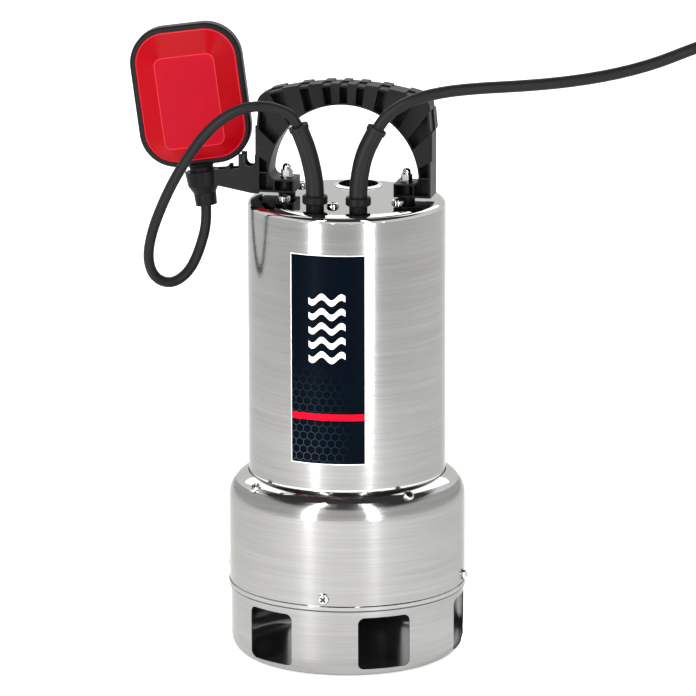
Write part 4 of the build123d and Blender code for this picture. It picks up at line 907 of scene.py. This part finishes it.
# %% [markdown]
# ## Stage
#
# The floor is one wide, plain, pale plane. A curved backdrop would do too, but it greys where
# it bends. The floor glows a little, so that it stays white around the pump and lights the
# lower bend of the cup, as a white table under big lamps does.

# %% Floor
FLOOR_REACH, FLOOR_DROP = 9.0, 0.0004
FLOOR_GREYS = colour(0.93, 0.93, 0.93), colour(0.96, 0.96, 0.96)


def pale(place):
    return {"Base Color": place.noise(3.0, 2.0).blend(*FLOOR_GREYS), "Roughness": 0.6,
            "Emission Color": colour(1.0, 1.0, 1.0), "Emission Strength": 0.6}


floor = start(bpy.ops.mesh.primitive_plane_add, size=2 * FLOOR_REACH, location=(0, 0, -FLOOR_DROP))
floor.name = floor.data.name = "floor"
floor.data.materials.append(finish("pale_floor", pale))
print("floor:", 2 * FLOOR_REACH, "m wide")

# %% [markdown]
# ## Light
#
# Steel shows what stands around it. Two tall, narrow, bright strips close to the pump draw the
# two upright highlights on the brushed walls, and a wide light behind lifts the edges. Each is
# placed by its angles from the camera, as a lamp is moved on a set: turn, look, turn again.

# %% Lights
def softbox(name, turn, rise, distance, size, power, lift):
    """Soft rectangular light at angles from the camera, aimed back along them."""
    light = bpy.data.lights.new(name, "AREA")
    light.shape = "RECTANGLE"
    light.size, light.size_y = size
    light.energy = power
    lamp = bpy.data.objects.new(name, light)
    angle = VIEW_TURN + radians(turn)
    ahead = Vector((sin(angle) * cos(radians(rise)), -cos(angle) * cos(radians(rise)),
                    sin(radians(rise))))
    lamp.location = Vector((0, 0, lift)) + ahead * distance
    lamp.rotation_euler = ahead.to_track_quat("Z", "Y").to_euler()
    scene.collection.objects.link(lamp)
    print(name, "at", [round(v, 2) for v in lamp.location])


softbox("left_strip", turn=-36, rise=0, distance=1.0, size=(0.075, 2.0), power=21, lift=1.02)
softbox("right_strip", turn=25, rise=0, distance=1.0, size=(0.055, 2.0), power=14, lift=1.02)
softbox("back_light", turn=180, rise=48, distance=3.6, size=(4.8, 3.2), power=80, lift=0.22)

# %% [markdown]
# The room is the world's background: pale all round, so that the steel stays bright, with a
# dark ceiling in front. The polished shoulder leans back and mirrors it as dark bands, which
# tell its round form. The ceiling is where a direction points up and also towards the camera.

# %% Room
ROOM_GREY, CEILING_GREY = colour(0.90, 0.90, 0.90), colour(0.05, 0.05, 0.05)
CEILING_FADE, FRONT_FADE = (0.56, 0.66), (-0.55, -0.15)
ROOM_STRENGTH = 1.25

world = bpy.data.worlds.new("studio")
world.use_nodes = True
scene.world = world
heading = add_node(world.node_tree, "ShaderNodeTexCoord", {}, "Generated")
front = heading.node("ShaderNodeVectorMath", {0: heading, 1: tuple(back)}, "Value",
                     operation="DOT_PRODUCT")
ceiling = heading.parts()[2].fade(*CEILING_FADE) * front.fade(*FRONT_FADE)
surround = ceiling.blend(ROOM_GREY, CEILING_GREY)
background = world.node_tree.nodes["Background"]
world.node_tree.links.new(surround.socket, background.inputs["Color"])
background.inputs["Strength"].default_value = ROOM_STRENGTH
print("room strength:", ROOM_STRENGTH)
